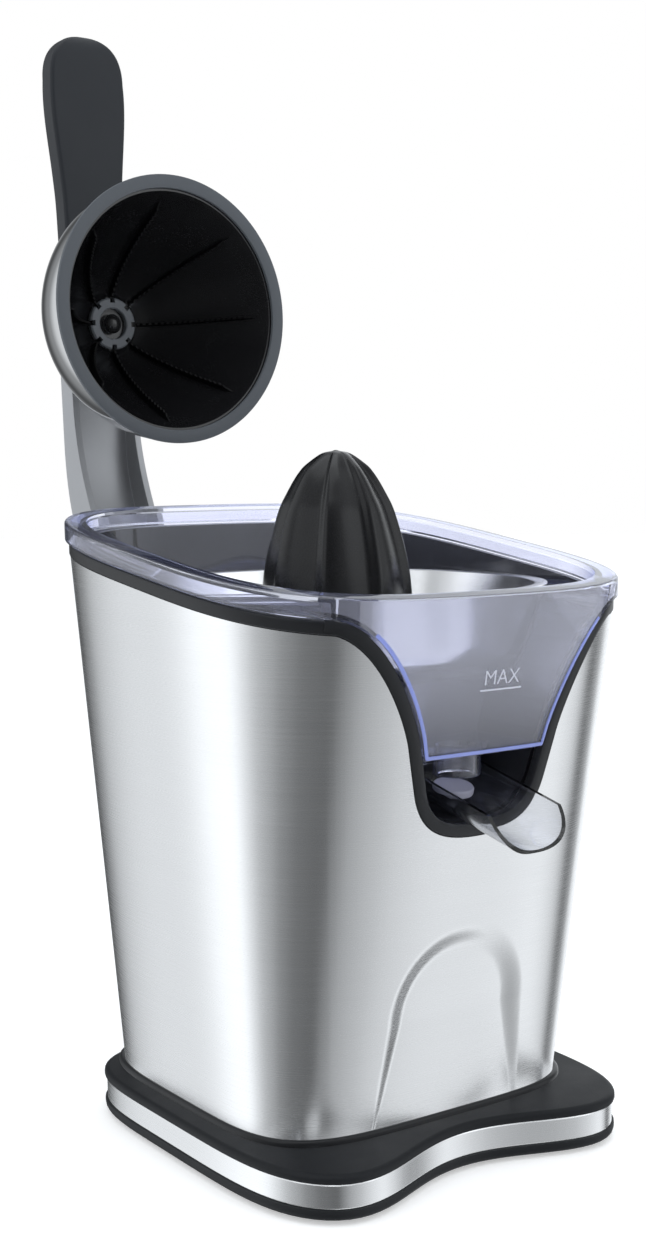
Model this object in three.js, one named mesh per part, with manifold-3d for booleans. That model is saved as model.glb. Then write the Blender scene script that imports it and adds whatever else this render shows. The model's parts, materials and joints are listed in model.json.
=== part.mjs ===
// A lever citrus press: a steel body on a base, a motor-driven reamer in a clear juice collector, and a
// lever that brings a dome down over the fruit. Millimetres, +Z up, the spout towards -Y. The design is
// drawn about the reamer's axis, and moved at the end so that the origin is the centre of the footprint
// of the whole press with its lever raised.
import * as THREE from "three";
import { mergeVertices } from "three/addons/utils/BufferGeometryUtils.js";
import Module from "manifold-3d";

const wasm = await Module();
wasm.setup();

// ---------- driving dimensions ----------
const GAP = 0.3; // clearance between pieces that touch
const OUTLINE_POINTS = 40; // points round each outline of the body and the base

// Outlines seen from above: half width, reach to the front and the back, and squareness.
const FOOT = { side: 83.2, front: 77.7, back: 85.6, power: 4.4 };
const RIM = { side: 99, front: 106, back: 110.5, power: 3.4 };
const BASE = { side: 94.5, front: 112, back: 85.3, power: 4.6 };
const BASE_DIP = 21.6; // how far the front edge of the base curves in for a glass
const BASE_DIP_HALF = 78;

// Heights of the base's layers and of the body.
const RUBBER_FEET = 1.2;
const BAND_LOW = 6.3;
const BAND_HIGH = 16.5;
const BASE_TOP = 20.8;
const COLLAR_TOP = 23.6;
const FOOT_Z = BASE_TOP + 0.5;
const RIM_Z = 244.3; // the steel's top edge beside the reamer
const RIM_SLOPE = 0.136; // the top edge rises towards the back
const STEEL = 1.4;

// The notch in the front of the steel, in which the collector's pocket and the spout sit.
const NOTCH = { shoulder: 74, shoulderZ: 232, neck: 38.6, neckZ: 187, heel: 34, heelZ: 168, bottom: 146 };
const TRIM = 6; // visible width of the black trim
const TRIM_DEPTH = 3.6;
const RING_HIGH = 5.9; // top of the trim above the steel edge

// The arched recess pressed into the front of the steel: legs that lean in, under a rounded head.
const ARCH = {
  half: 39.6,
  lean: 0.085,
  low: 26,
  spring: 68,
  head: 39,
  power: 2.1,
  bevel: 8.2,
  depth: 3.4,
  fade: 0.25, // what is left of the depth and the bevel at the foot
};

// The bowls, from the outside in.
const HOUSING_WALL = 2;
const COLLECTOR_WALL = 2;
const FLANGE_LOW = 6.3; // above the steel edge
const FLANGE_HIGH = 14.7;
const FLANGE_OVERHANG = 1.9;
const LIP_INSET = 6.6;
const MOUTH_TOP = 30;
const SHIELD_TOP = 1.068; // share of the side where the collector's front wall ends, level with its flange
const SHIELD_LEAN = 2.4;
const SHELF_Z = 242;
const BOWL_FLOOR_Z = 206.4;
const POCKET_FLOOR_Z = 180.4;
const POCKET_BACK_Y = -60;
const NOZZLE = { y: -83, radius: 9.75, bore: 7.8, bottom: 169.5 };

// The strainer, the reamer and the drive shaft.
const STRAINER_RADIUS = 91.5;
const STRAINER_SHEET = 0.9;
const REAMER_TOP = 299.7;
const REAMER_HEIGHT = 83.2;
const REAMER_RIBS = 8;
const SHAFT_RADIUS = 4;

// The lever, drawn closed about its pivot: u runs forward and v up.
const PIVOT = { y: 125.5, z: 240.9 };
const OPEN_ANGLE = THREE.MathUtils.degToRad(92);
const ARM_HALF = 19;
const DOME_U = PIVOT.y; // the closed dome stands over the reamer
const DOME_V = 2.8;
const DOME_RADIUS = 62.8;
const DOME_DEPTH = 74.4;
const CUP_RADIUS = 56.2;
const CUP_HEIGHT = 69.8; // of the paraboloid, from its mouth to its tip
const CUP_DEPTH = 65.8;
const RIM_THICKNESS = 1.6; // the grey ring round the cup's mouth
const RIM_DEPTH = RIM_THICKNESS + GAP; // where the steel and the liner start
const COVER_FULLNESS = 1.85; // how much rounder the steel is than the cup

// The spout, drawn level about its hinge pin.
const SPOUT_PIVOT = { y: -64, z: 174.8 };
const SPOUT_TILT = THREE.MathUtils.degToRad(12.5);
const SPOUT_HALF = 19; // half width of the trough
const SPOUT_DEPTH = 14.5;
const SPOUT_WALL = 1.8;
const SPOUT_LENGTH = 62; // to the end of the trough's side edges
const SPOUT_TIP = 73; // to the end of its floor

// The gear train: motor pinion, intermediate wheel and pinion, output wheel.
const PINION_TEETH = 10;
const WHEEL_TEETH = 40;
const FAST_MODULE = 1.2;
const SLOW_MODULE = 1.5;
const MOTOR_AXIS = new THREE.Vector2(0, 46);
const IDLER_AXIS = new THREE.Vector2(24.4, 28.48);
const GEARBOX = { low: 114, floor: 117, high: 152, lid: 155.3 };

const CENTRE_Y = 47.147; // middle of the whole press from the spout's tip to the raised grip

// ---------- finishes ----------
const finish = (color, roughness, metalness, more = {}) =>
  new THREE.MeshStandardMaterial({ color, roughness, metalness, ...more });
const STEEL_BRUSHED = finish(0xc9cacb, 0.32, 1);
const STEEL_POLISHED = finish(0xdadbdc, 0.1, 1);
const STEEL_PLAIN = finish(0x9a9c9f, 0.4, 1);
const CAST_SILVER = finish(0xb4b6b9, 0.38, 0.8);
const BLACK_SATIN = finish(0x1b1c1f, 0.42, 0);
const BLACK_MATTE = finish(0x232427, 0.6, 0);
const GREY_RIM = finish(0x3d4045, 0.4, 0);
const GREY_RUBBER = finish(0x8b8e92, 0.8, 0);
const DARK_RUBBER = finish(0x1f1f20, 0.9, 0);
const NYLON = finish(0xe6e2d6, 0.5, 0);
const BRONZE = finish(0xa9793f, 0.4, 1);
const CLEAR = finish(0xdfe8f5, 0.08, 0, { transparent: true, opacity: 0.35 });

// ---------- solids ----------
// Turns a closed mesh so that its faces point out.
function outward(geometry) {
  const merged = mergeVertices(positionsOf(geometry), 1e-4);
  const index = merged.index.array;
  const [a, b, c] = [new THREE.Vector3(), new THREE.Vector3(), new THREE.Vector3()];
  let volume = 0;
  for (let i = 0; i < index.length; i += 3) {
    [a, b, c].forEach((v, k) => v.fromBufferAttribute(merged.attributes.position, index[i + k]));
    volume += a.dot(b.cross(c));
  }
  if (volume < 0) index.reverse();
  return merged;
}

function positionsOf(geometry) {
  const bare = new THREE.BufferGeometry().setAttribute("position", geometry.getAttribute("position"));
  if (geometry.index) bare.setIndex(geometry.index);
  return bare;
}

function solidOf(geometry) {
  const { attributes, index } = outward(geometry);
  return new wasm.Manifold(
    new wasm.Mesh({
      numProp: 3,
      vertProperties: new Float32Array(attributes.position.array),
      triVerts: new Uint32Array(index.array),
    }),
  );
}

function geometryOf(solid) {
  const mesh = solid.getMesh();
  return new THREE.BufferGeometry()
    .setAttribute("position", new THREE.BufferAttribute(mesh.vertProperties, 3))
    .setIndex(new THREE.BufferAttribute(mesh.triVerts, 1));
}

const join = (first, ...rest) => geometryOf(rest.reduce((sum, next) => sum.add(solidOf(next)), solidOf(first)));
const cut = (first, ...rest) => geometryOf(rest.reduce((sum, next) => sum.subtract(solidOf(next)), solidOf(first)));
const common = (first, ...rest) =>
  geometryOf(rest.reduce((sum, next) => sum.intersect(solidOf(next)), solidOf(first)));

// A skin over rings of equally many points. A hollow one joins its last ring to its first; any other
// is closed by a flat end at each side.
function loft(rings, hollow = false) {
  const points = rings.flat();
  const n = rings[0].length;
  const triangles = [];
  const bands = hollow ? rings.length : rings.length - 1;
  for (let k = 0; k < bands; k++) {
    const low = k * n;
    const high = ((k + 1) % rings.length) * n;
    for (let i = 0; i < n; i++) {
      const j = (i + 1) % n;
      triangles.push(low + i, low + j, high + j, low + i, high + j, high + i);
    }
  }
  if (!hollow) {
    for (const [k, turn] of [[0, 1], [rings.length - 1, 0]]) {
      const centre = rings[k].reduce((sum, p) => sum.add(p), new THREE.Vector3()).divideScalar(n);
      const c = points.push(centre) - 1;
      for (let i = 0; i < n; i++) {
        const pair = [k * n + i, k * n + ((i + 1) % n)];
        triangles.push(c, pair[turn], pair[1 - turn]);
      }
    }
  }
  return new THREE.BufferGeometry().setFromPoints(points).setIndex(triangles);
}

// A body of revolution about a vertical axis from points of radius and height.
function lathe(profile, sides = 32, x = 0, y = 0) {
  const points = profile.map(([r, z]) => new THREE.Vector2(r, z));
  return new THREE.LatheGeometry(points, sides).rotateX(Math.PI / 2).translate(x, y, 0);
}

const closedLathe = (profile, sides, x, y) => lathe([...profile, profile[0]], sides, x, y);

const cylinder = (radius, low, high, x = 0, y = 0, sides = 24) =>
  new THREE.CylinderGeometry(radius, radius, high - low, sides).rotateX(Math.PI / 2).translate(x, y, (low + high) / 2);

const tube = (outer, inner, low, high, x = 0, y = 0, sides = 24) =>
  closedLathe([[inner, low], [outer, low], [outer, high], [inner, high]], sides, x, y);

const rod = (radius, left, right, y = 0, z = 0, sides = 20) =>
  new THREE.CylinderGeometry(radius, radius, right - left, sides)
    .rotateZ(Math.PI / 2)
    .translate((left + right) / 2, y, z);

const box = (x, y, z) =>
  new THREE.BoxGeometry(x[1] - x[0], y[1] - y[0], z[1] - z[0]).translate(
    (x[0] + x[1]) / 2,
    (y[0] + y[1]) / 2,
    (z[0] + z[1]) / 2,
  );

// A shape seen from the front, run from one depth to another.
const frontPrism = (shape, front, back) =>
  new THREE.ExtrudeGeometry(shape, { depth: back - front, bevelEnabled: false, curveSegments: 5 })
    .rotateX(Math.PI / 2)
    .translate(0, back, 0);

// A shape of u and v seen from the side, run across the lever.
const sidePrism = (shape, half) =>
  new THREE.ExtrudeGeometry(shape, { depth: 2 * half, bevelEnabled: false, curveSegments: 10 })
    .translate(0, 0, -half)
    .rotateX(Math.PI / 2)
    .rotateZ(-Math.PI / 2);

// A shape seen from above, run from one height to another.
const plate = (shape, low, high, curveSegments = 4) =>
  new THREE.ExtrudeGeometry(shape, { depth: high - low, bevelEnabled: false, curveSegments }).translate(0, 0, low);

// ---------- outlines ----------
const rimHeight = (y) => RIM_Z + RIM_SLOPE * y;

// The point of a rounded square outline in one direction from the reamer's axis.
function outlinePoint({ side, front, back, power }, inset, angle) {
  const x = Math.cos(angle);
  const y = Math.sin(angle);
  const reach = y < 0 ? front : back;
  const sum = Math.abs(x / (side - inset)) ** power + Math.abs(y / (reach - inset)) ** power;
  return new THREE.Vector2(x, y).multiplyScalar(sum ** (-1 / power));
}

const around = (place) =>
  Array.from({ length: OUTLINE_POINTS }, (_, i) => place((2 * Math.PI * i) / OUTLINE_POINTS));

// A ring on the body's tapered side: share 0 is the foot and 1 the sloping rim.
const bodyRing = (share, inset = 0, rise = 0) =>
  around((angle) => {
    const foot = outlinePoint(FOOT, inset, angle);
    const rim = outlinePoint(RIM, inset, angle);
    return new THREE.Vector3(foot.x, foot.y, FOOT_Z)
      .lerp(new THREE.Vector3(rim.x, rim.y, rimHeight(rim.y)), share)
      .add(new THREE.Vector3(0, 0, rise));
  });

// A level ring inside the tapered body, or inside its rim where the rim is lower.
const slice = (z, inset) =>
  around((angle) => {
    const foot = outlinePoint(FOOT, inset, angle);
    const rim = outlinePoint(RIM, inset, angle);
    const share = Math.min(1, (z - FOOT_Z) / (rimHeight(rim.y) - FOOT_Z));
    const { x, y } = foot.lerp(rim, share);
    return new THREE.Vector3(x, y, z);
  });

const levelRing = (outline, inset, z) =>
  around((angle) => {
    const { x, y } = outlinePoint(outline, inset, angle);
    return new THREE.Vector3(x, y, z);
  });

// The base's outline dips in at the front.
const baseRing = (inset, z) =>
  levelRing(BASE, inset, z).map((p) => {
    const dips = p.y < 0 && Math.abs(p.x) < BASE_DIP_HALF;
    if (dips) p.y += BASE_DIP * Math.cos((Math.PI * p.x) / (2 * BASE_DIP_HALF)) ** 2;
    return p;
  });

const bodySolid = (inset, from = 0, to = 1) => loft([bodyRing(from, inset), bodyRing(to, inset)]);
const bodyBand = (profile) => loft(profile.map(([share, inset, rise = 0]) => bodyRing(share, inset, rise)), true);

// The notch's outline, seen from the front, shrunk by an inset. It runs on above the rim.
function notchShape(inset) {
  const half = (x) => x - inset;
  const { shoulder, shoulderZ, neck, neckZ, heel, heelZ, bottom } = NOTCH;
  const rise = 0.4 * inset;
  const shape = new THREE.Shape().moveTo(-half(shoulder), shoulderZ + 70);
  shape.lineTo(-half(shoulder), shoulderZ + rise);
  shape.bezierCurveTo(-half(58), 231 + rise, -half(43), 202 + rise, -half(neck), neckZ);
  shape.lineTo(-half(heel), heelZ);
  shape.bezierCurveTo(-half(30), 151 + inset, -half(19), bottom + inset, 0, bottom + inset);
  shape.bezierCurveTo(half(19), bottom + inset, half(30), 151 + inset, half(heel), heelZ);
  shape.lineTo(half(neck), neckZ);
  shape.bezierCurveTo(half(43), 202 + rise, half(58), 231 + rise, half(shoulder), shoulderZ + rise);
  shape.lineTo(half(shoulder), shoulderZ + 70);
  return shape.closePath();
}

const notchPrism = (inset, back = POCKET_BACK_Y) => frontPrism(notchShape(inset), -150, back);

// The body's front at one place across and up, under an inset.
function frontDepth(x, z, inset) {
  const reach = ({ side, front, power }) =>
    -(front - inset) * (1 - Math.abs(x / (side - inset)) ** power) ** (1 / power);
  const share = (z - FOOT_Z) / (rimHeight(-RIM.front) - FOOT_Z);
  return THREE.MathUtils.lerp(reach(FOOT), reach(RIM), share);
}

// The arch's outline laid on the body's front, a share of the way down its bevel and under a thickness.
function archRing(share, behind) {
  const { half, lean, low, spring, head, power, bevel, depth, fade } = ARCH;
  const foot = FOOT_Z - 4;
  const shrink = bevel * share;
  const eased = share < 0 ? share : fade * share;
  const shoulder = half - lean * (spring - low) - shrink;
  const ankle = half + lean * (low - foot) - bevel * eased;
  const steps = 16;
  const arc = Array.from({ length: steps + 1 }, (_, i) => {
    const angle = (Math.PI * i) / steps;
    const [across, up] = [Math.cos(angle), Math.sin(angle)];
    const x = shoulder * Math.sign(across) * Math.abs(across) ** (2 / power);
    return [x, spring + (head - shrink) * Math.max(0, up) ** (2 / power), depth * share + behind];
  });
  const ankleInset = depth * eased + behind;
  const points = [[ankle, foot, ankleInset], ...arc, [-ankle, foot, ankleInset]];
  return points.map(([x, z, inset]) => new THREE.Vector3(x, frontDepth(x, z, inset), z));
}

// The space of the recess, or with a thickness behind it the recess and its sheet.
const archSolid = (from, behind) => loft([archRing((from - behind) / ARCH.depth, behind), archRing(1, behind)]);

function roundedRectangle(left, right, low, high, radius) {
  const shape = new THREE.Shape().moveTo(left + radius, low);
  shape.absarc(right - radius, low + radius, radius, -Math.PI / 2, 0);
  shape.absarc(right - radius, high - radius, radius, 0, Math.PI / 2);
  shape.absarc(left + radius, high - radius, radius, Math.PI / 2, Math.PI);
  shape.absarc(left + radius, low + radius, radius, Math.PI, 1.5 * Math.PI);
  return shape.closePath();
}

// ---------- scene graph ----------
const press = new THREE.Group();

function piece(name, geometry, material, parent = press) {
  const mesh = new THREE.Mesh(outward(geometry), material);
  mesh.name = name;
  parent.add(mesh);
  return mesh;
}

// ---------- base ----------
const BASE_CORNERS = [
  [-66, -78],
  [66, -78],
  [-64, 60],
  [64, 60],
];
const FOOT_PAD = 9;
const BASE_SCREWS = BASE_CORNERS.map(([x, y]) => [x + 14 * Math.sign(x), y]);
const BASE_SCREW = { head: 3.6, shank: 1.8, top: 18.4 };
const CORD_X = -38;
const CORD_Z = 11.4;

function buildBase() {
  const padSeats = BASE_CORNERS.map(([x, y]) => cylinder(FOOT_PAD + GAP, -1, 2.2, x, y, 20));
  const headSeats = BASE_SCREWS.map(([x, y]) => cylinder(BASE_SCREW.head + GAP, -1, 4.4, x, y, 14));
  const screwHoles = BASE_SCREWS.map(([x, y]) => cylinder(BASE_SCREW.shank + GAP, -1, BASE_SCREW.top + GAP, x, y, 10));
  const tray = loft([baseRing(2.2, RUBBER_FEET), baseRing(0, 2.6), baseRing(0, BAND_LOW - GAP)]);
  piece("base_bottom_cover", cut(tray, ...padSeats, ...headSeats, ...screwHoles), BLACK_SATIN);

  const gland = new THREE.CylinderGeometry(5.6, 5.6, 30, 24).translate(CORD_X, 80, CORD_Z);
  const band = [baseRing(0.9, BAND_LOW), baseRing(0.9, BAND_HIGH), baseRing(2.3, BAND_HIGH), baseRing(2.3, BAND_LOW)];
  piece("base_trim_band", cut(loft(band, true), gland), STEEL_BRUSHED);

  const low = BAND_HIGH + GAP;
  const top = loft(
    [
      baseRing(0.5, low),
      baseRing(0, low + 0.8),
      baseRing(0, BASE_TOP - 1.3),
      baseRing(1.3, BASE_TOP),
      levelRing(FOOT, 5, BASE_TOP),
      levelRing(FOOT, 5, low),
    ],
    true,
  );
  piece("base_top_cover", cut(top, ...screwHoles), BLACK_SATIN);

  BASE_CORNERS.forEach(([x, y], i) => {
    piece(`rubber_foot_${i + 1}`, cylinder(FOOT_PAD, 0, 1.9, x, y, 20), DARK_RUBBER);
  });
  BASE_SCREWS.forEach(([x, y], i) => {
    const head = cylinder(BASE_SCREW.head, 2.2, 4.1, x, y, 14);
    const shank = cylinder(BASE_SCREW.shank, 4, BASE_SCREW.top, x, y, 10);
    piece(`base_screw_${i + 1}`, join(head, shank), STEEL_PLAIN);
  });

  const seat = FOOT_Z - GAP;
  const collar = [
    [0.3, seat],
    [0.4, COLLAR_TOP - 0.3],
    [0.9, COLLAR_TOP],
    [1.8, COLLAR_TOP - 0.3],
    [2.4, COLLAR_TOP - 1.2],
    [2.4, seat],
  ];
  piece("body_collar", loft(collar.map(([grow, z]) => levelRing(FOOT, -grow, z)), true), BLACK_SATIN);

  const glandBody = lathe([[0, -6], [4.9, -6], [4.9, 6], [7, 6.6], [6.4, 8.4], [4.6, 18], [0, 18]], 18)
    .rotateX(-Math.PI / 2)
    .translate(CORD_X, 80, CORD_Z);
  const glandBore = new THREE.CylinderGeometry(3.4, 3.4, 30, 14).translate(CORD_X, 86, CORD_Z);
  piece("cord_gland", cut(glandBody, glandBore), DARK_RUBBER);
}

// ---------- body ----------
function buildBody() {
  const wall = bodyBand([[0, 0], [1, 0], [1, STEEL], [0, STEEL]]);
  const bracketHoles = BRACKET_SCREWS.map(([x, z]) => new THREE.CylinderGeometry(2, 2, 40, 16).translate(x, 100, z));
  const underFoot = box([-60, 60], [-120, -40], [0, FOOT_Z]);
  const pressed = cut(join(wall, archSolid(0.3, STEEL)), archSolid(-1, 0), underFoot);
  piece("body_shell", cut(pressed, notchPrism(0), ...bracketHoles), STEEL_BRUSHED);

  const ring = bodyBand([
    [1, -0.4, GAP],
    [1, -0.4, RING_HIGH - 0.7],
    [1, 0.4, RING_HIGH],
    [1, 1.9, RING_HIGH],
    [1, 1.9, GAP],
  ]);
  const frontSkin = cut(bodySolid(-0.5, 0.4, 1.2), bodySolid(TRIM_DEPTH, 0.35, 1.3));
  const lining = common(frontSkin, cut(notchPrism(GAP), notchPrism(TRIM)), bodySolid(-1, 0, 1.02));
  piece("rim_trim", cut(join(ring, lining), cut(notchPrism(TRIM), box([-200, 200], [-200, 0], [0, 100]))), BLACK_SATIN);
}

// A round bowl from its floor up to the shelf that carries the strainer, grown by an offset.
const bowl = (offset) =>
  lathe(
    [
      [0, BOWL_FLOOR_Z - offset],
      [74 + 0.5 * offset, BOWL_FLOOR_Z - offset],
      [80 + 0.8 * offset, 209 - 0.6 * offset],
      [84 + offset, 218],
      [88.3 + offset, SHELF_Z + 1],
      [0, SHELF_Z + 1],
    ],
    30,
  );

// The space above the shelf, up to the sloping rim, grown by an offset.
function mouth(offset) {
  const inset = LIP_INSET - offset;
  return loft([slice(SHELF_Z - offset, inset), bodyRing(1, inset, FLANGE_HIGH), bodyRing(1, inset, MOUTH_TOP)]);
}

// Everything below a top that slopes with the rim.
const below = (rise) => loft([bodyRing(0, -10), bodyRing(1, -10, rise)]);

function buildHousing() {
  const fit = COLLECTOR_WALL + 0.4;
  const skin = fit + HOUSING_WALL;
  const shaftBoss = cylinder(8.8, BOWL_FLOOR_Z - skin, 227, 0, 0);
  const inside = bodySolid(TRIM_DEPTH + 1, 0.4, 1);
  const recess = common(notchPrism(3.6, -54), inside);
  const outer = common(join(bowl(skin), mouth(skin), recess), below(RING_HIGH));
  const inner = join(bowl(fit), mouth(fit), notchPrism(5.7, -56));
  const pinHoles = rod(1.5 + GAP, -40, 40, SPOUT_PIVOT.y, SPOUT_PIVOT.z, 20);
  const seat = cylinder(7 + GAP, 223, 230, 0, 0);
  const bore = cylinder(SHAFT_RADIUS + 0.8, 190, 230, 0, 0);
  piece("inner_housing", cut(join(cut(outer, inner), shaftBoss), pinHoles, seat, bore), BLACK_SATIN);
  piece("shaft_seal", tube(7, SHAFT_RADIUS + GAP, 223 + GAP, 227.6, 0, 0, 20), DARK_RUBBER);
  piece("spout_pin", rod(1.5, -32.5, 32.5, SPOUT_PIVOT.y, SPOUT_PIVOT.z, 16), STEEL_PLAIN);
}

// ---------- collector, strainer and reamer ----------
// The pocket in the notch, whose front wall leans out until it is flush with the flange.
function pocket(inset, depth, floor, back) {
  const front = loft([bodyRing(0.5, depth), bodyRing(SHIELD_TOP, depth - SHIELD_LEAN)]);
  return common(notchPrism(inset, back), front, box([-90, 90], [-150, 0], [floor, 300]));
}

function buildCollector() {
  const flange = loft([
    bodyRing(1, -FLANGE_OVERHANG, FLANGE_LOW),
    bodyRing(1, -FLANGE_OVERHANG, FLANGE_HIGH - 1),
    bodyRing(1, -FLANGE_OVERHANG + 1, FLANGE_HIGH),
  ]);
  const skirtSpace = bodyBand([[1, 0.5, 0], [1, 0.5, 12.2], [1, 4.2, 12.2], [1, 4.2, 0]]);
  const nozzle = cylinder(NOZZLE.radius, NOZZLE.bottom, POCKET_FLOOR_Z + 1, 0, NOZZLE.y);
  const chimney = cylinder(12.2, BOWL_FLOOR_Z - COLLECTOR_WALL, 231, 0, 0);
  const floor = POCKET_FLOOR_Z + COLLECTOR_WALL;
  const pocketSpace = pocket(8.3, 2.6, floor, POCKET_BACK_Y - COLLECTOR_WALL);
  const bowls = common(join(mouth(COLLECTOR_WALL), bowl(COLLECTOR_WALL)), below(FLANGE_HIGH - 1));
  const body = join(cut(join(flange, bowls), skirtSpace), pocket(6.3, 0.6, POCKET_FLOOR_Z, POCKET_BACK_Y), nozzle);
  const hollow = join(bowl(0), mouth(0), pocketSpace, cylinder(NOZZLE.bore, 150, 200, 0, NOZZLE.y));
  const chimneySpace = cylinder(9.4, 190, 229, 0, 0);
  const chimneyHole = cylinder(SHAFT_RADIUS + 1.2, 190, 240, 0, 0);
  piece("juice_collector", cut(join(cut(body, hollow), chimney), chimneySpace, chimneyHole), CLEAR);
}

function buildStrainer() {
  const t = STRAINER_SHEET;
  const sheet = closedLathe(
    [
      [STRAINER_RADIUS, SHELF_Z + GAP + t],
      [STRAINER_RADIUS, SHELF_Z + GAP],
      [86.8, SHELF_Z + GAP],
      [82.5, 221],
      [73, 211.2],
      [16.6, 211.2],
      [16.6, 221],
      [15.7, 221],
      [15.7, 211.2 + t],
      [72.7, 211.2 + t],
      [81.8, 221.5],
      [86.2, SHELF_Z + GAP + t],
    ],
    32,
  );
  const rows = [{ radius: 50, count: 12 }];
  const slots = rows.flatMap(({ radius, count }) =>
    Array.from({ length: count }, (_, i) =>
      box([radius - 14, radius + 14], [-1.1, 1.1], [205, 216]).rotateZ((2 * Math.PI * i) / count),
    ),
  );
  piece("strainer", cut(sheet, ...slots), STEEL_POLISHED);
}

// The reamer's ribs stand out from an ogive; each one starts near the tip and dies out at the skirt.
function buildReamer() {
  const profile = new THREE.SplineCurve(
    [[0.4, 1.6], [2, 6.6], [9.3, 13.6], [18, 19], [27, 23.2], [45, 28.2], [62, 31], [83.2, 34.2]].map(
      ([depth, radius]) => new THREE.Vector2(depth, radius),
    ),
  );
  const sides = 5 * REAMER_RIBS;
  const rings = profile.getPoints(7).map(({ x: depth, y: radius }) => {
    const fade = Math.min(1, depth / 6) * (1 - 0.75 * THREE.MathUtils.smoothstep(depth, 50, REAMER_HEIGHT));
    return Array.from({ length: sides }, (_, i) => {
      const angle = (2 * Math.PI * i) / sides;
      const crest = Math.max(0, Math.cos(REAMER_RIBS * angle)) ** 1.5;
      const r = radius + 2.4 * fade * crest;
      return new THREE.Vector3(r * Math.cos(angle), r * Math.sin(angle), REAMER_TOP - depth);
    });
  });
  const under = lathe(
    [[0, 210], [31.6, 210], [28.6, 240], [21, 268], [8.4, 284], [0, 284]],
    20,
  );
  const boss = cylinder(8.4, 235, 290, 0, 0, 20);
  const socket = cylinder(SHAFT_RADIUS + GAP, 230, 278, 0, 0, 6);
  piece("reamer_cone", cut(join(cut(loft(rings), under), boss), socket), BLACK_SATIN);
}

// ---------- spout ----------
function buildSpout() {
  const swing = new THREE.Group();
  swing.position.set(0, SPOUT_PIVOT.y, SPOUT_PIVOT.z);
  swing.rotation.x = SPOUT_TILT;
  press.add(swing);

  const trough = (inset, back, front) =>
    new THREE.CylinderGeometry(1, 1, back - front, 40)
      .scale(SPOUT_HALF - inset, 1, SPOUT_DEPTH - inset)
      .translate(0, (back + front) / 2, 0);
  const above = box([-40, 40], [-90, 20], [0, 40]);
  const nose = new THREE.Shape().moveTo(-10, 5);
  nose.lineTo(-10, -30);
  nose.lineTo(SPOUT_TIP - 8, -30);
  nose.lineTo(SPOUT_TIP - 2, -SPOUT_DEPTH - 0.4);
  nose.bezierCurveTo(SPOUT_TIP + 2, -12, SPOUT_LENGTH + 6, -5, SPOUT_LENGTH, 0);
  nose.lineTo(SPOUT_LENGTH, 5);
  const outside = common(trough(0, -3, -SPOUT_TIP - 5), sidePrism(nose.closePath(), 30));
  const inside = trough(SPOUT_WALL, -3 - SPOUT_WALL, -SPOUT_TIP - 10);
  const hinge = rod(3.4, -SPOUT_HALF - 1, SPOUT_HALF + 1, 0, 0);
  const channel = cut(outside, inside, above);
  piece("spout", cut(join(channel, hinge), rod(1.5 + GAP, -30, 30)), CLEAR, swing);

  const sealTop = NOZZLE.bottom - 0.4 - SPOUT_PIVOT.z;
  const sealY = NOZZLE.y - SPOUT_PIVOT.y;
  const seal = cylinder(8.4, sealTop - 3.4, sealTop, 0, sealY, 28);
  const stem = cylinder(3, -SPOUT_DEPTH + SPOUT_WALL + 2 * GAP, sealTop - 3, 0, sealY, 12);
  piece("spout_seal", join(seal, stem), GREY_RUBBER, swing);
}

// ---------- lever ----------
function armShape() {
  const shape = new THREE.Shape().moveTo(10.5, 0);
  shape.lineTo(10.5, 33);
  shape.bezierCurveTo(11, 51, 20, 60, 33.1, 65);
  shape.bezierCurveTo(48, 71.5, 66, 78, 89.4, 78);
  shape.lineTo(138, 78);
  shape.lineTo(138, 90.2);
  shape.lineTo(62, 90.2);
  shape.bezierCurveTo(30, 89, 6, 80, -5, 58);
  shape.bezierCurveTo(-10, 48, -13, 38, -13, 26);
  shape.lineTo(-13, 0);
  shape.absarc(-1.25, 0, 11.75, Math.PI, 2 * Math.PI);
  return shape.closePath();
}

// The hollow of the channel, open towards the fruit.
function channelShape() {
  const shape = new THREE.Shape().moveTo(-4, 26);
  shape.bezierCurveTo(-4, 38, 0, 46, 4, 54);
  shape.bezierCurveTo(12, 70, 30, 84, 62, 86.6);
  shape.lineTo(132, 86.6);
  shape.lineTo(132, 60);
  shape.lineTo(20, 26);
  return shape.closePath();
}

function gripShape() {
  const shape = new THREE.Shape().moveTo(-12, 139);
  shape.bezierCurveTo(-14.5, 165, -13, 180, -14.5, 195);
  shape.bezierCurveTo(-16, 215, -19, 230, -17.6, 246);
  shape.bezierCurveTo(-16, 259, -8, 264.8, 0, 264.8);
  shape.bezierCurveTo(8, 264.8, 16, 259, 17.6, 246);
  shape.bezierCurveTo(19, 230, 16, 215, 14.5, 195);
  shape.bezierCurveTo(13, 180, 14.5, 165, 12, 139);
  return shape.closePath();
}

// The cup is a paraboloid and the steel over it a little fuller: the radius at a depth behind the rim.
const domeRadius = (radius, height, depth, fullness) =>
  radius * Math.sqrt(Math.max(0, 1 - (depth / height) ** fullness));
const domeLine = (radius, height, from, to, steps, fullness = 1) =>
  Array.from({ length: steps + 1 }, (_, i) => {
    const depth = from + (to - from) * (1 - (1 - i / steps) ** 2);
    return [domeRadius(radius, height, depth, fullness), depth];
  });

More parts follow.
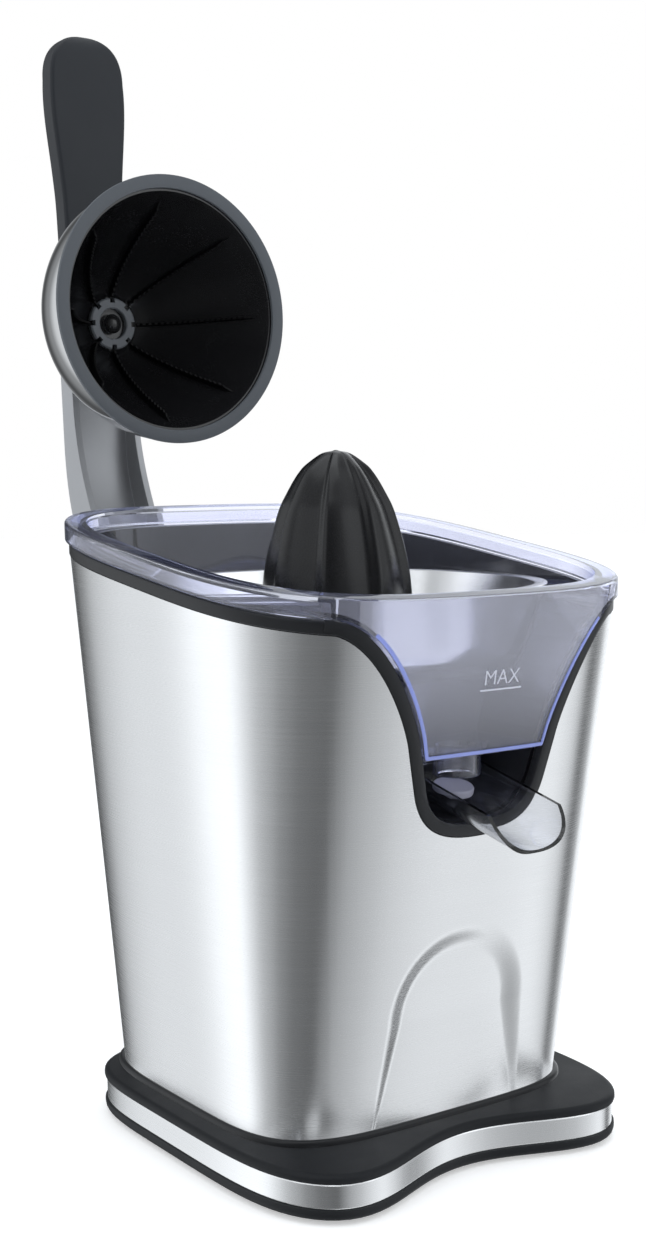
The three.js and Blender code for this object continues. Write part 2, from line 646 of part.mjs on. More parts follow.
function buildLever() {
  const lever = new THREE.Group();
  lever.position.set(0, PIVOT.y, PIVOT.z);
  lever.rotation.x = -OPEN_ANGLE;
  press.add(lever);

  const tongue = box([-7, 7], [-196, -130], [83, 88]);
  const boss = cylinder(7.4, 78.2, 88, 0, -DOME_U, 24);
  const channel = sidePrism(channelShape(), ARM_HALF - 3.4);
  const hub = rod(7 + GAP, -40, 40);
  const screwBore = cylinder(3, 60, 87, 0, -DOME_U, 20);
  const arm = cut(join(cut(sidePrism(armShape(), ARM_HALF), channel), boss, tongue), hub, screwBore);
  piece("lever_arm", arm, CAST_SILVER, lever);

  const bevel = { bevelEnabled: true, bevelThickness: 3, bevelSize: 3, bevelSegments: 2, curveSegments: 5 };
  const blade = new THREE.ExtrudeGeometry(gripShape(), { depth: 6, ...bevel }).rotateZ(Math.PI).translate(0, 0, 82.4);
  const slot = box([-7.4, 7.4], [-197, -120], [82.6, 88.4]);
  const shoulder = box([-40, 40], [-138.4, -120], [60, 110]);
  piece("lever_grip", cut(blade, slot, shoulder), BLACK_MATTE, lever);

  for (const [side, name] of [[-1, "left"], [1, "right"]]) {
    const [inner, outer] = [12, 19.3].map((x) => side * x);
    const ring = cut(rod(7, Math.min(inner, outer), Math.max(inner, outer)), rod(4 + GAP, -40, 40));
    piece(`pivot_bush_${name}`, ring, BRONZE, lever);
  }

  const dome = new THREE.Group();
  dome.position.set(0, -DOME_U, DOME_V);
  lever.add(dome);

  const coverWall = 1.2;
  const skinRadius = DOME_RADIUS - 0.6;
  const skinTop = DOME_DEPTH - 0.2;
  const skinLine = domeLine(skinRadius, DOME_DEPTH, RIM_DEPTH, skinTop, 6, COVER_FULLNESS);
  const underTop = DOME_DEPTH - coverWall - 0.3;
  const underLine = domeLine(skinRadius - coverWall, DOME_DEPTH - coverWall, RIM_DEPTH, underTop, 6, COVER_FULLNESS);
  const hole = 3;
  const coverProfile = [...skinLine.slice(0, -1), [hole, skinTop], [hole, underTop]];
  piece("dome_cover", closedLathe([...coverProfile, ...underLine.slice(0, -1).reverse()], 30), STEEL_POLISHED, dome);

  const backLine = domeLine(DOME_RADIUS - 2.3, DOME_DEPTH - 2, RIM_DEPTH, 68.4, 5);
  const cupLine = domeLine(CUP_RADIUS, CUP_HEIGHT, RIM_DEPTH, CUP_DEPTH, 5);
  const linerProfile = [...backLine, [hole, 68.4], [hole, CUP_DEPTH], ...cupLine.slice().reverse()];
  piece("dome_liner", closedLathe(linerProfile, 30), BLACK_SATIN, dome);

  const rimInner = CUP_RADIUS + 0.4;
  const rimProfile = [
    [rimInner, 0.4],
    [rimInner + 0.4, 0],
    [DOME_RADIUS - 0.6, 0],
    [DOME_RADIUS, 0.6],
    [DOME_RADIUS, RIM_THICKNESS],
    [rimInner, RIM_THICKNESS],
  ];
  piece("dome_rim", closedLathe(rimProfile, 30), GREY_RIM, dome);

  const notches = Array.from({ length: 8 }, (_, i) =>
    box([10.6, 16], [-1.5, 1.5], [60, 70]).rotateZ((2 * Math.PI * i) / 8),
  );
  piece("dome_hub_ring", cut(tube(12.8, 7.6, 62.4, CUP_DEPTH - GAP, 0, 0, 24), ...notches), GREY_RUBBER, dome);

  const button = [[0, 60.6], [2.4, 61], [4, 62], [4.8, 63.4], [4.8, 63.6], [0, 63.6]];
  piece("dome_button", lathe(button, 20), BLACK_SATIN, dome);
  piece("dome_screw", join(cylinder(4.6, 63.9, 65.6, 0, 0, 20), cylinder(2.6, 65.5, 83.6, 0, 0, 16)), STEEL_PLAIN, dome);
}

// ---------- hinge bracket ----------
const BRACKET_SCREWS = [
  [-19, 190],
  [19, 190],
];

function buildBracket() {
  const cheek = new THREE.Shape().moveTo(-46, -70);
  cheek.lineTo(-13, -70);
  cheek.bezierCurveTo(-2, -50, 10, -40, 12.6, -6);
  cheek.absarc(0, 0, 13, -0.4, Math.PI - 0.2);
  cheek.lineTo(-13, -20);
  cheek.lineTo(-46, -20);
  const pair = cheeks(cheek.closePath());
  const block = box([-27, 27], [80, 116], [171, 219]);
  const shelf = box([-27, 27], [100, 143], [207, 219]);
  const pin = rod(4 + GAP, -60, 60, PIVOT.y, PIVOT.z);
  const screwHoles = BRACKET_SCREWS.map(([x, z]) => new THREE.CylinderGeometry(2, 2, 80, 16).translate(x, 100, z));
  const driverHoles = BRACKET_SCREWS.map(([x, z]) =>
    new THREE.CylinderGeometry(4.4, 4.4, 60, 20).translate(x, 114 + 30, z),
  );
  const bracket = cut(join(block, shelf, ...pair), bodySolid(-0.6, 0, 1.1), pin, ...screwHoles, ...driverHoles);
  const stopSeat = cylinder(4 + GAP, 216, 230, 0, 138, 20);
  piece("hinge_bracket", cut(bracket, stopSeat), CAST_SILVER);
  piece("lever_stop", cylinder(4, 216 + GAP, 226.6, 0, 138, 20), DARK_RUBBER);
  piece("pivot_shaft", rod(4, -28, 28, PIVOT.y, PIVOT.z), STEEL_PLAIN);
  for (const [side, name] of [[-1, "left"], [1, "right"]]) {
    const [inner, outer] = [27.3, 31].map((x) => side * x);
    const cap = rod(7, Math.min(inner, outer), Math.max(inner, outer), PIVOT.y, PIVOT.z, 20);
    piece(`pivot_cap_${name}`, cut(cap, rod(4 + GAP, -28.4, 28.4, PIVOT.y, PIVOT.z)), BLACK_SATIN);
  }
  BRACKET_SCREWS.forEach(([x, z], i) => {
    const head = new THREE.CylinderGeometry(3.9, 3.9, 2.6, 18).translate(x, 115.8, z);
    const shank = new THREE.CylinderGeometry(1.7, 1.7, 20, 12).translate(x, 105, z);
    piece(`bracket_screw_${i + 1}`, join(head, shank), STEEL_PLAIN);
  });
}

// The two cheeks that carry the pivot, from their side view about the pivot.
const cheeks = (shape) =>
  [-23.3, 23.3].map((x) =>
    new THREE.ExtrudeGeometry(shape, { depth: 7.4, bevelEnabled: false, curveSegments: 6 })
      .translate(0, 0, -3.7)
      .rotateX(Math.PI / 2)
      .rotateZ(Math.PI / 2)
      .translate(x, PIVOT.y, PIVOT.z),
  );

// ---------- drive ----------
// A spur gear with straight-flanked teeth, with a tooth or a gap towards the angle given.
function gear(teeth, module, low, high, bore, angle, gapThere) {
  const tip = (module * teeth) / 2 + 0.8 * module;
  const root = (module * teeth) / 2 - 1.15 * module;
  const pitch = (2 * Math.PI) / teeth;
  const start = angle + (gapThere ? pitch / 2 : 0);
  const corners = [[root, -0.3], [tip, -0.12], [tip, 0.12], [root, 0.3]];
  const points = Array.from({ length: teeth }, (_, i) =>
    corners.map(([r, share]) => {
      const a = start + (i + share) * pitch;
      return new THREE.Vector2(r * Math.cos(a), r * Math.sin(a));
    }),
  ).flat();
  const shape = new THREE.Shape(points);
  shape.holes.push(new THREE.Path().absarc(0, 0, bore, 0, 2 * Math.PI, true));
  return plate(shape, low, high);
}

const angleTo = (from, to) => Math.atan2(to.y - from.y, to.x - from.x);

function buildGearTrain() {
  const centre = new THREE.Vector2(0, 0);
  const toIdler = angleTo(MOTOR_AXIS, IDLER_AXIS);
  const toOutput = angleTo(IDLER_AXIS, centre);
  const [mx, my] = MOTOR_AXIS.toArray();
  const [ix, iy] = IDLER_AXIS.toArray();
  const thin = 2 + GAP;

  const pinion = gear(PINION_TEETH, FAST_MODULE, 137, 147, thin, toIdler, false).translate(mx, my, 0);
  piece("motor_pinion", pinion, BRONZE);

  const wheel = gear(WHEEL_TEETH, FAST_MODULE, 138, 146, thin, toIdler + Math.PI, true);
  const small = gear(PINION_TEETH, SLOW_MODULE, 119, 138.5, thin, toOutput, false);
  piece("intermediate_gear", join(wheel, small).translate(ix, iy, 0), NYLON);
  piece("gear_axle", cylinder(2, GEARBOX.low + GAP, GEARBOX.lid - GAP, ix, iy, 16), STEEL_PLAIN);

  const output = gear(WHEEL_TEETH, SLOW_MODULE, 121, 131, 5, toOutput + Math.PI, true);
  const hub = tube(7, 5, GEARBOX.floor + 0.5, GEARBOX.high - 0.2, 0, 0, 18);
  const spline = tube(6, SHAFT_RADIUS + GAP, 120, 150, 0, 0, 18);
  piece("output_gear", join(output, hub, spline), NYLON);
}

function buildGearbox() {
  const outline = (grow) => roundedRectangle(-38 - grow, 56 + grow, -38 - grow, 62 + grow, 14 + grow);
  const [mx, my] = MOTOR_AXIS.toArray();
  const [ix, iy] = IDLER_AXIS.toArray();
  const centreHole = cylinder(7 + GAP, 100, 170, 0, 0, 18);
  const axleHole = cylinder(2 + GAP, 100, 170, ix, iy, 12);
  const tray = cut(plate(outline(0), GEARBOX.low, GEARBOX.high), plate(outline(-2.4), GEARBOX.floor, 200));
  piece("gearbox_lower", cut(tray, centreHole, axleHole, cylinder(9, 100, 130, mx, my, 18)), BLACK_MATTE);

  const lid = plate(outline(0), GEARBOX.high + GAP, GEARBOX.lid);
  piece("gearbox_lid", cut(lid, centreHole, axleHole, cylinder(2 + GAP, 100, 170, mx, my, 12)), BLACK_MATTE);

  const bush = (low, high) => tube(7, SHAFT_RADIUS + GAP, low, high, 0, 0, 20);
  piece("shaft_bush_lower", bush(111, GEARBOX.floor + 0.2), BRONZE);
  piece("shaft_bush_upper", bush(GEARBOX.high + 0.1, 157), BRONZE);

  const corners = [[-28, -28], [46, -6], [-22, 52]];
  const postTop = BOWL_FLOOR_Z - COLLECTOR_WALL - 0.4 - HOUSING_WALL - GAP;
  corners.forEach(([x, y], i) => {
    piece(`gearbox_post_${i + 1}`, cylinder(4, GEARBOX.lid + GAP, postTop, x, y, 16), STEEL_PLAIN);
  });
}

function buildMotor() {
  const [x, y] = MOTOR_AXIS.toArray();
  const canTop = GEARBOX.low - GAP;
  const can = [[7, canTop], [30, canTop], [30, 56], [28, 56], [28, canTop - 2], [7, canTop - 2]];
  piece("motor_can", closedLathe(can, 28, x, y), STEEL_PLAIN);

  const vents = Array.from({ length: 6 }, (_, i) =>
    box([11, 24], [-2.6, 2.6], [50, 60]).rotateZ((Math.PI * i) / 3).translate(x, y, 0),
  );
  piece("motor_end_cap", cut(tube(30, 2 + GAP, 53, 55.7, x, y, 28), ...vents), BLACK_MATTE);

  const rotor = [[0, 42], [2, 42], [2, 62], [19, 62], [19, 102], [2, 102], [2, 150], [0, 150]];
  piece("motor_rotor", lathe(rotor, 24, x, y), STEEL_PLAIN);

  const blades = Array.from({ length: 6 }, (_, i) =>
    box([5, 24], [-0.7, 0.7], [44, 51]).rotateZ((Math.PI * i) / 3).translate(x, y, 0),
  );
  piece("cooling_fan", join(tube(6.4, 2 + GAP, 43.5, 51.5, x, y, 18), ...blades), BLACK_MATTE);
}

function buildShaft() {
  const collar = 179;
  const body = [[0, 104], [3.4, 104], [4, 104.8], [4, collar - 2.6], [7.4, collar - 2.6], [7.4, collar], [4, collar]];
  const round = lathe([...body, [4, 233], [0, 233]], 18);
  const hex = cylinder(SHAFT_RADIUS - 0.1, 232, 276, 0, 0, 6);
  piece("drive_shaft", join(round, hex), STEEL_PLAIN);

  const coil = { turns: 4, radius: 6, wire: 0.8, low: 158.6, high: collar - 4 };
  const steps = 8 * coil.turns;
  const route = new THREE.CatmullRomCurve3(
    Array.from({ length: steps + 1 }, (_, i) => {
      const angle = (2 * Math.PI * coil.turns * i) / steps;
      const z = coil.low + ((coil.high - coil.low) * i) / steps;
      return new THREE.Vector3(coil.radius * Math.cos(angle), coil.radius * Math.sin(angle), z);
    }),
  );
  const wire = new THREE.Shape().absarc(0, 0, coil.wire, 0, 2 * Math.PI);
  const spring = new THREE.ExtrudeGeometry(wire, { steps, extrudePath: route, curveSegments: 3 });
  piece("press_spring", spring, STEEL_PLAIN);

  const bore = cylinder(2.4 + GAP, 91, 110, 0, 0, 20);
  piece("switch_body", cut(box([-10, 10], [-6, 6], [84, 98]), bore), BLACK_MATTE);
  piece("switch_plunger", cylinder(2.4, 93.6, 103.6, 0, 0, 18), NYLON);

  const strap = new THREE.Shape().moveTo(-13, GEARBOX.low - GAP);
  strap.lineTo(-13, 82).lineTo(13, 82).lineTo(13, GEARBOX.low - GAP).lineTo(11, GEARBOX.low - GAP);
  strap.lineTo(11, 83.7).lineTo(-11, 83.7).lineTo(-11, GEARBOX.low - GAP);
  piece("switch_bracket", frontPrism(strap.closePath(), -5, 5), STEEL_PLAIN);
}

buildBase();
buildBody();
buildHousing();
buildCollector();
buildStrainer();
buildReamer();
buildSpout();
buildLever();
buildBracket();
buildGearTrain();
buildGearbox();
buildMotor();
buildShaft();

press.position.y = -CENTRE_Y;

export default press;
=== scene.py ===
"""A lever citrus press: brushed steel body, clear collector and spout, ribbed reamer and a steel dome.

Shapes are drawn in millimetres about the reamer's axis, with the spout towards -Y, and turned into the
frame's metres as each mesh is made. The lever is drawn closed about its pivot, with u towards the spout
and v up, and then swung open.
"""
import json
import math
from collections import namedtuple

import bmesh
import bpy
from mathutils import Matrix, Vector


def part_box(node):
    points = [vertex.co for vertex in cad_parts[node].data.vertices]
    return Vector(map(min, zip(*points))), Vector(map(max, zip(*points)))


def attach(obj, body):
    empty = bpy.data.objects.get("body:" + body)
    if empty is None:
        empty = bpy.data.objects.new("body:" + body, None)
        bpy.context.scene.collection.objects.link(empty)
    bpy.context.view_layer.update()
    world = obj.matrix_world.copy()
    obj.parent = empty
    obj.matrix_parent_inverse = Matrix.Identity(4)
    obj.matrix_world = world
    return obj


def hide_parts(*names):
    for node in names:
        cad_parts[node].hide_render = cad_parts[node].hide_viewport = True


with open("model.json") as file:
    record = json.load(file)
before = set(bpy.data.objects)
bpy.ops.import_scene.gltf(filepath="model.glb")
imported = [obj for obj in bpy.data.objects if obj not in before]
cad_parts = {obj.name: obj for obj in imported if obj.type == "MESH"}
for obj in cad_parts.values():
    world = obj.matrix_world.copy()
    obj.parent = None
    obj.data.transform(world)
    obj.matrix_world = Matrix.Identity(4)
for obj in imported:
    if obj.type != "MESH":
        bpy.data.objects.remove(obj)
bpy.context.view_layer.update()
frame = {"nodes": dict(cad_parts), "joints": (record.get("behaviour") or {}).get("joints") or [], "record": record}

MM = 0.001
ROUND = 160  # points round an outline or a turned piece
GAP = 0.3  # clearance between pieces that touch

# ---------- sizes read from the frame ----------
Span = namedtuple("Span", "left right front back low high")


def reamer_axis():
    low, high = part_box("drive_shaft")
    return (low.y + high.y) / 2


AXIS_Y = reamer_axis()


def span(node):
    """A node's reach in millimetres about the reamer's axis."""
    low, high = (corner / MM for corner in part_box(node))
    shift = AXIS_Y / MM
    return Span(low.x, high.x, low.y - shift, high.y - shift, low.z, high.z)


def joint_place(name):
    """Where a joint's axis runs, in millimetres about the reamer's axis."""
    joint = next(j for j in frame["joints"] if j["name"] == name)
    x, y, z = joint["pos_m"]
    return Vector((x / MM, (y - AXIS_Y) / MM, z / MM))


Outline = namedtuple("Outline", "side front back power")  # half of a rounded plan, with its squareness
FLANGE_OVERHANG = 1.9
COLLAR_REACH = 2.4
cover_span = span("base_top_cover")


def plan_within(node, overhang, power):
    """The body's plan where a node goes round it and stands out by an overhang."""
    place = span(node)
    return Outline(place.right - overhang, -place.front - overhang, place.back - overhang, power)


RIM = plan_within("juice_collector", FLANGE_OVERHANG, 3.4)
FOOT = plan_within("body_collar", COLLAR_REACH, 4.4)
BASE_FRONT = 112  # reach of the base's front corners
BASE = Outline(cover_span.right, BASE_FRONT, cover_span.back, 4.6)
BASE_DIP = 21.6  # how far the base's front curves in between its corners
BASE_DIP_HALF = 78

FOOT_Z = span("body_shell").low
RIM_SLOPE = 0.136  # the rim rises towards the back
RIM_Z = span("body_shell").high - RIM_SLOPE * RIM.back
STEEL = 1.2
FLANGE_LOW = 6.3  # the collector's flange, over the rim of the steel
FLANGE_HIGH = 14.7
LIP_INSET = 6.6
TRIM_WIDTH = 5.9
POCKET_INSET = TRIM_WIDTH + 0.4  # from the edge of the notch to the collector's pocket
COLLECTOR_WALL = 2.0
SHELF_Z = 242.0
BOWL_FLOOR_Z = 206.4
POCKET_FLOOR_Z = 180.4
POCKET_BACK_Y = -60.0
SHIELD_INSET = 0.6  # of the collector's front wall behind the steel, halfway up
SHIELD_LEAN = 2.4  # how far that wall has come forward at its top
SHIELD_BACK_Y = -92.0  # the collector's walls in front of this are a little milky and carry a painted reflection
SHIELD_TOP = 1.068  # share of the side at which the collector's front wall ends, level with its flange

PIVOT = joint_place("lever_pivot")
OPEN_ANGLE = math.radians(92)
SPOUT_PIVOT = joint_place("spout_tilt")
SPOUT_TILT = math.radians(12.5)


# ---------- meshes ----------
def in_frame(point):
    return Vector((point[0] * MM, point[1] * MM + AXIS_Y, point[2] * MM))


def show(name, data):
    """A new object in the scene."""
    made = bpy.data.objects.new(name, data)
    bpy.context.scene.collection.objects.link(made)
    return made


def mesh_piece(name, points, faces, turn=None):
    """An object whose mesh holds the points, in millimetres, placed in the frame."""
    if turn is not None:
        points = [turn @ Vector(p) for p in points]
    mesh = bpy.data.meshes.new(name)
    mesh.from_pydata([in_frame(p) for p in points], [], faces)
    build = bmesh.new()
    build.from_mesh(mesh)
    bmesh.ops.recalc_face_normals(build, faces=build.faces)
    build.to_mesh(mesh)
    build.free()
    return show(name, mesh)


def loft(name, rings, hollow=False, turn=None):
    """A skin over rings of equally many points. A hollow one joins its last ring to its first."""
    n = len(rings[0])
    points = [p for ring in rings for p in ring]
    bands = len(rings) if hollow else len(rings) - 1
    faces = []
    for k in range(bands):
        low, high = k * n, (k + 1) % len(rings) * n
        faces += [(low + i, low + (i + 1) % n, high + (i + 1) % n, high + i) for i in range(n)]
    if not hollow:
        faces.append(tuple(range(n)))
        faces.append(tuple((len(rings) - 1) * n + i for i in range(n)))
    return mesh_piece(name, points, faces, turn)


def turns(count=ROUND):
    return [2 * math.pi * i / count for i in range(count)]


def circle(radius, z, x=0.0, y=0.0, sides=ROUND):
    return [(x + radius * math.cos(a), y + radius * math.sin(a), z) for a in turns(sides)]


def across(lines):
    """Rings across a bundle of equally long lines."""
    return [list(ring) for ring in zip(*lines)]


def lathe(name, profile, x=0.0, y=0.0, sides=ROUND, hollow=False, turn=None):
    """A body of revolution about a vertical axis, from pairs of radius and height."""
    rings = [circle(max(r, 0.02), z, x, y, sides) for r, z in profile]
    return loft(name, rings, hollow, turn)


def prism(name, outline, start, end, place, turn=None):
    """A flat outline run from start to end, where place turns (a, b, depth) into a point."""
    rings = [[place(a, b, depth) for a, b in outline] for depth in (start, end)]
    return loft(name, rings, turn=turn)


def box(name, x, y, z, turn=None):
    corners = [(x[0], y[0]), (x[1], y[0]), (x[1], y[1]), (x[0], y[1])]
    return prism(name, corners, z[0], z[1], lambda a, b, depth: (a, b, depth), turn)


def rod(name, radius, half, turn):
    """A round bar along X through the middle of the turn."""
    ring = [(radius * math.cos(a), radius * math.sin(a)) for a in turns(64)]
    return loft(name, [[(x, y, z) for y, z in ring] for x in (-half, half)], turn=turn)


def evaluated(piece):
    """The mesh that a piece has after its modifiers."""
    graph = bpy.context.evaluated_depsgraph_get()
    return bpy.data.meshes.new_from_object(piece.evaluated_get(graph))


def combine(first, operation, *others):
    """Cuts the others from the first piece, joins them to it or keeps what they share."""
    for other in others:
        step = first.modifiers.new(operation, "BOOLEAN")
        step.operation = operation
        step.solver = "MANIFOLD"
        step.object = other
    made = evaluated(first)
    first.modifiers.clear()
    first.data = made
    for other in others:
        bpy.data.objects.remove(other)
    return first


def join_meshes(name, pieces):
    """One object holding every piece's faces."""
    points, faces = [], []
    for piece in pieces:
        start = len(points)
        points += [v.co.copy() for v in piece.data.vertices]
        faces += [tuple(start + i for i in p.vertices) for p in piece.data.polygons]
        bpy.data.objects.remove(piece)
    mesh = bpy.data.meshes.new(name)
    mesh.from_pydata(points, [], faces)
    return show(name, mesh)


def rounded(piece, width, angle=50):
    """Rounds the piece's edges that are sharper than the angle."""
    bevel = piece.modifiers.new("rounded", "BEVEL")
    bevel.width = width * MM
    bevel.segments = 3
    bevel.limit_method = "ANGLE"
    bevel.angle_limit = math.radians(angle)
    bevel.harden_normals = False
    return piece


def finish_piece(piece, material, slot, body, *nodes, crease=32):
    """Shades a piece, gives it its material, lets it ride on its body and stand for its nodes."""
    piece.data.shade_smooth()
    piece.data.set_sharp_from_angle(angle=math.radians(crease))
    piece.data.materials.clear()
    piece.data.materials.append(material)
    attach(piece, body)
    if nodes:
        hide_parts(*nodes)
    return piece


def smoothstep(value):
    value = min(1.0, max(0.0, value))
    return value * value * (3 - 2 * value)


def mix(a, b, share):
    return a + (b - a) * share


def bezier(a, b, c, d, steps):
    """Points along a cubic curve, without its first one."""
    points = []
    for i in range(1, steps + 1):
        t = i / steps
        weights = ((1 - t) ** 3, 3 * t * (1 - t) ** 2, 3 * t * t * (1 - t), t**3)
        points.append(tuple(sum(w * p[k] for w, p in zip(weights, (a, b, c, d))) for k in (0, 1)))
    return points


def quarter(inset, z, radius, rise, steps=6):
    """A rounded edge from the side to the top, as pairs of inset and height."""
    angles = [math.pi / 2 * i / steps for i in range(steps + 1)]
    return [(inset + radius * (1 - math.cos(a)), z + rise * math.sin(a)) for a in angles]


def side_outline(start, *parts):
    """An outline from a start point, straight (u, v) points and (b, c, d) curves."""
    points = [start]
    for part in parts:
        if isinstance(part[0], tuple):
            points += bezier(points[-1], *part, 16)
        else:
            points.append(part)
    return points


def side_prism(name, outline, half, turn):
    """An outline of u towards the spout and v up, as thick as twice the half."""
    return prism(name, outline, -half, half, lambda u, v, x: (x, -u, v), turn)


# ---------- the body's outlines ----------
def outline_point(outline, angle, inset=0.0):
    """A point of a rounded plan in a direction from the reamer's axis."""
    x, y = math.cos(angle), math.sin(angle)
    reach = outline.front if y < 0 else outline.back
    power = outline.power
    total = abs(x / (outline.side - inset)) ** power + abs(y / (reach - inset)) ** power
    size = total ** (-1 / power)
    return x * size, y * size


def rim_height(y):
    return RIM_Z + RIM_SLOPE * y


def wall_point(angle, share, inset=0.0, rise=0.0):
    """A point on the tapered side: share 0 is the foot and 1 the sloping rim."""
    foot = outline_point(FOOT, angle, inset)
    rim = outline_point(RIM, angle, inset)
    z = mix(FOOT_Z, rim_height(rim[1]), share) + rise
    return mix(foot[0], rim[0], share), mix(foot[1], rim[1], share), z


def share_at(angle, z, inset=0.0):
    """Which share of the side's height a height is, in that direction."""
    rim = outline_point(RIM, angle, inset)
    return min(1.0, (z - FOOT_Z) / (rim_height(rim[1]) - FOOT_Z))


def wall_level(angle, z, inset=0.0):
    """The point at a height on the tapered side, or straight above the rim."""
    x, y, _ = wall_point(angle, share_at(angle, z, inset), inset)
    return x, y, z


def front_angle(x, z, inset=0.0):
    """The direction in which the front of the body is at x, at that height."""
    low, high = -math.pi, 0.0
    for _ in range(40):
        middle = (low + high) / 2
        if wall_level(middle, z, inset)[0] < x:
            low = middle
        else:
            high = middle
    return (low + high) / 2


def front_point(x, z, inset=0.0):
    return wall_level(front_angle(x, z, inset), z, inset)


def wall_ring(share, inset=0.0, rise=0.0):
    return [wall_point(a, share, inset, rise) for a in turns()]


def level_ring(outline, inset, z):
    return [(*outline_point(outline, a, inset), z) for a in turns()]


def dipped(point):
    """The point moved back by the curve in the middle of the base's front."""
    x, y, z = point
    if y < 0 and abs(x) < BASE_DIP_HALF:
        y += BASE_DIP * math.cos(math.pi * x / (2 * BASE_DIP_HALF)) ** 2
    return x, y, z


def base_ring(inset, z):
    return [dipped(p) for p in level_ring(BASE, inset, z)]


# ---------- the notch in the front ----------
NOTCH_HALF = 74.0


def notch_line():
    """The edge of the steel round the notch, as pairs of x and height, from the left to the right."""
    left = [(-NOTCH_HALF, 232.0)]
    left += bezier(left[-1], (-58, 231), (-43, 202), (-38.6, 187), 26)
    left += bezier(left[-1], (-37.2, 181), (-35.6, 174.5), (-34, 168), 8)
    left += bezier(left[-1], (-30, 151), (-19, 146), (0, 146), 20)
    return left + [(-x, z) for x, z in reversed(left[:-1])]


def offset_line(line, width):
    """The line moved across itself, towards the inside of the notch."""
    moved = []
    for i, (x, z) in enumerate(line):
        before, after = line[max(i - 1, 0)], line[min(i + 1, len(line) - 1)]
        dx, dz = after[0] - before[0], after[1] - before[1]
        length = math.hypot(dx, dz)
        moved.append((x - dz / length * width, z + dx / length * width))
    return moved


def notch_outline(width, top=300.0):
    """The closed outline of the notch, shrunk by a width and run on above the rim."""
    line = [p for p in offset_line(notch_line(), width) if abs(p[0]) < NOTCH_HALF - 2]
    return [(line[0][0], top), *line, (line[-1][0], top)]


def notch_prism(width, back, floor=None):
    """The space in the notch, shrunk by a width, in front of the plane at back and above the floor."""
    outline = notch_outline(width)
    if floor is not None:
        outline = [(x, max(z, floor)) for x, z in outline]
    return prism("notch", outline, -160.0, back, lambda x, z, y: (x, y, z))


# ---------- materials ----------
class Graph:
    """A small helper round a node tree."""

    def __init__(self, tree):
        self.tree = tree

    def find(self, kind):
        return next(n for n in self.tree.nodes if n.type == kind)

    def add(self, kind, **values):
        """A new node, with its settings or else its sockets' values."""
        node = self.tree.nodes.new(kind)
        for key, value in values.items():
            if hasattr(node, key):
                setattr(node, key, value)
            else:
                node.inputs[key.replace("_", " ")].default_value = value
        return node

    def link(self, output, target):
        self.tree.links.new(output, target)

    def ramp(self, value, low, high, start, end):
        node = self.add("ShaderNodeMapRange", From_Min=low, From_Max=high, To_Min=start, To_Max=end)
        self.link(value, node.inputs["Value"])
        return node.outputs["Result"]

    def fill(self, sockets, values):
        """Links outputs to the sockets and writes plain numbers and colours into them."""
        for socket, value in zip(sockets, values):
            if isinstance(value, tuple):
                socket.default_value = (*value, 1.0)
            elif isinstance(value, (int, float)):
                socket.default_value = value
            else:
                self.link(value, socket)

    def math(self, operation, a, b):
        node = self.add("ShaderNodeMath", operation=operation)
        self.fill(node.inputs, (a, b))
        return node.outputs["Value"]

    def blend(self, share, a, b):
        node = self.add("ShaderNodeMix", data_type="RGBA")
        self.link(share, node.inputs["Factor"])
        self.fill([n for n in node.inputs if n.type == "RGBA"], (a, b))
        return next(o for o in node.outputs if o.type == "RGBA")

    def split_rays(self, kind, special, output):
        """Puts the special shader in front of the output's own one for one kind of ray."""
        surface = self.find(output).inputs["Surface"]
        both = self.add("ShaderNodeMixShader")
        rays = self.add("ShaderNodeLightPath")
        usual = surface.links[0].from_socket
        self.fill(both.inputs, (rays.outputs[kind], usual, special.outputs[0]))
        self.link(both.outputs[0], surface)


class Finish(Graph):
    """A material with one Principled shader, laid out by the place on the object."""

    def __init__(self, name):
        self.material = bpy.data.materials.new(name)
        self.material.use_nodes = True
        super().__init__(self.material.node_tree)
        self.shader = self.find("BSDF_PRINCIPLED")
        self.place = self.add("ShaderNodeTexCoord").outputs["Object"]

    def noise(self, size, stretch=(1, 1, 1), detail=3.0, roughness=0.55):
        """Noise whose grains are about a size across, in millimetres, drawn out by the stretch."""
        mapping = self.add("ShaderNodeMapping", Scale=tuple(1 / (size * MM * s) for s in stretch))
        self.link(self.place, mapping.inputs["Vector"])
        node = self.add("ShaderNodeTexNoise", Scale=1.0, Detail=detail, Roughness=roughness)
        self.link(mapping.outputs["Vector"], node.inputs["Vector"])
        return node.outputs["Fac"]

    def bump(self, height, strength, depth):
        node = self.add("ShaderNodeBump", Strength=strength, Distance=depth * MM)
        self.link(height, node.inputs["Height"])
        self.link(node.outputs["Normal"], self.shader.inputs["Normal"])

    def edges(self):
        """Where the surface is sharply convex, as on a worn edge."""
        return self.ramp(self.add("ShaderNodeNewGeometry").outputs["Pointiness"], 0.505, 0.56, 0.0, 1.0)

    def set(self, **values):
        for key, value in values.items():
            self.shader.inputs[key.replace("_", " ")].default_value = value

    def drive(self, **outputs):
        for key, output in outputs.items():
            self.link(output, self.shader.inputs[key.replace("_", " ")])


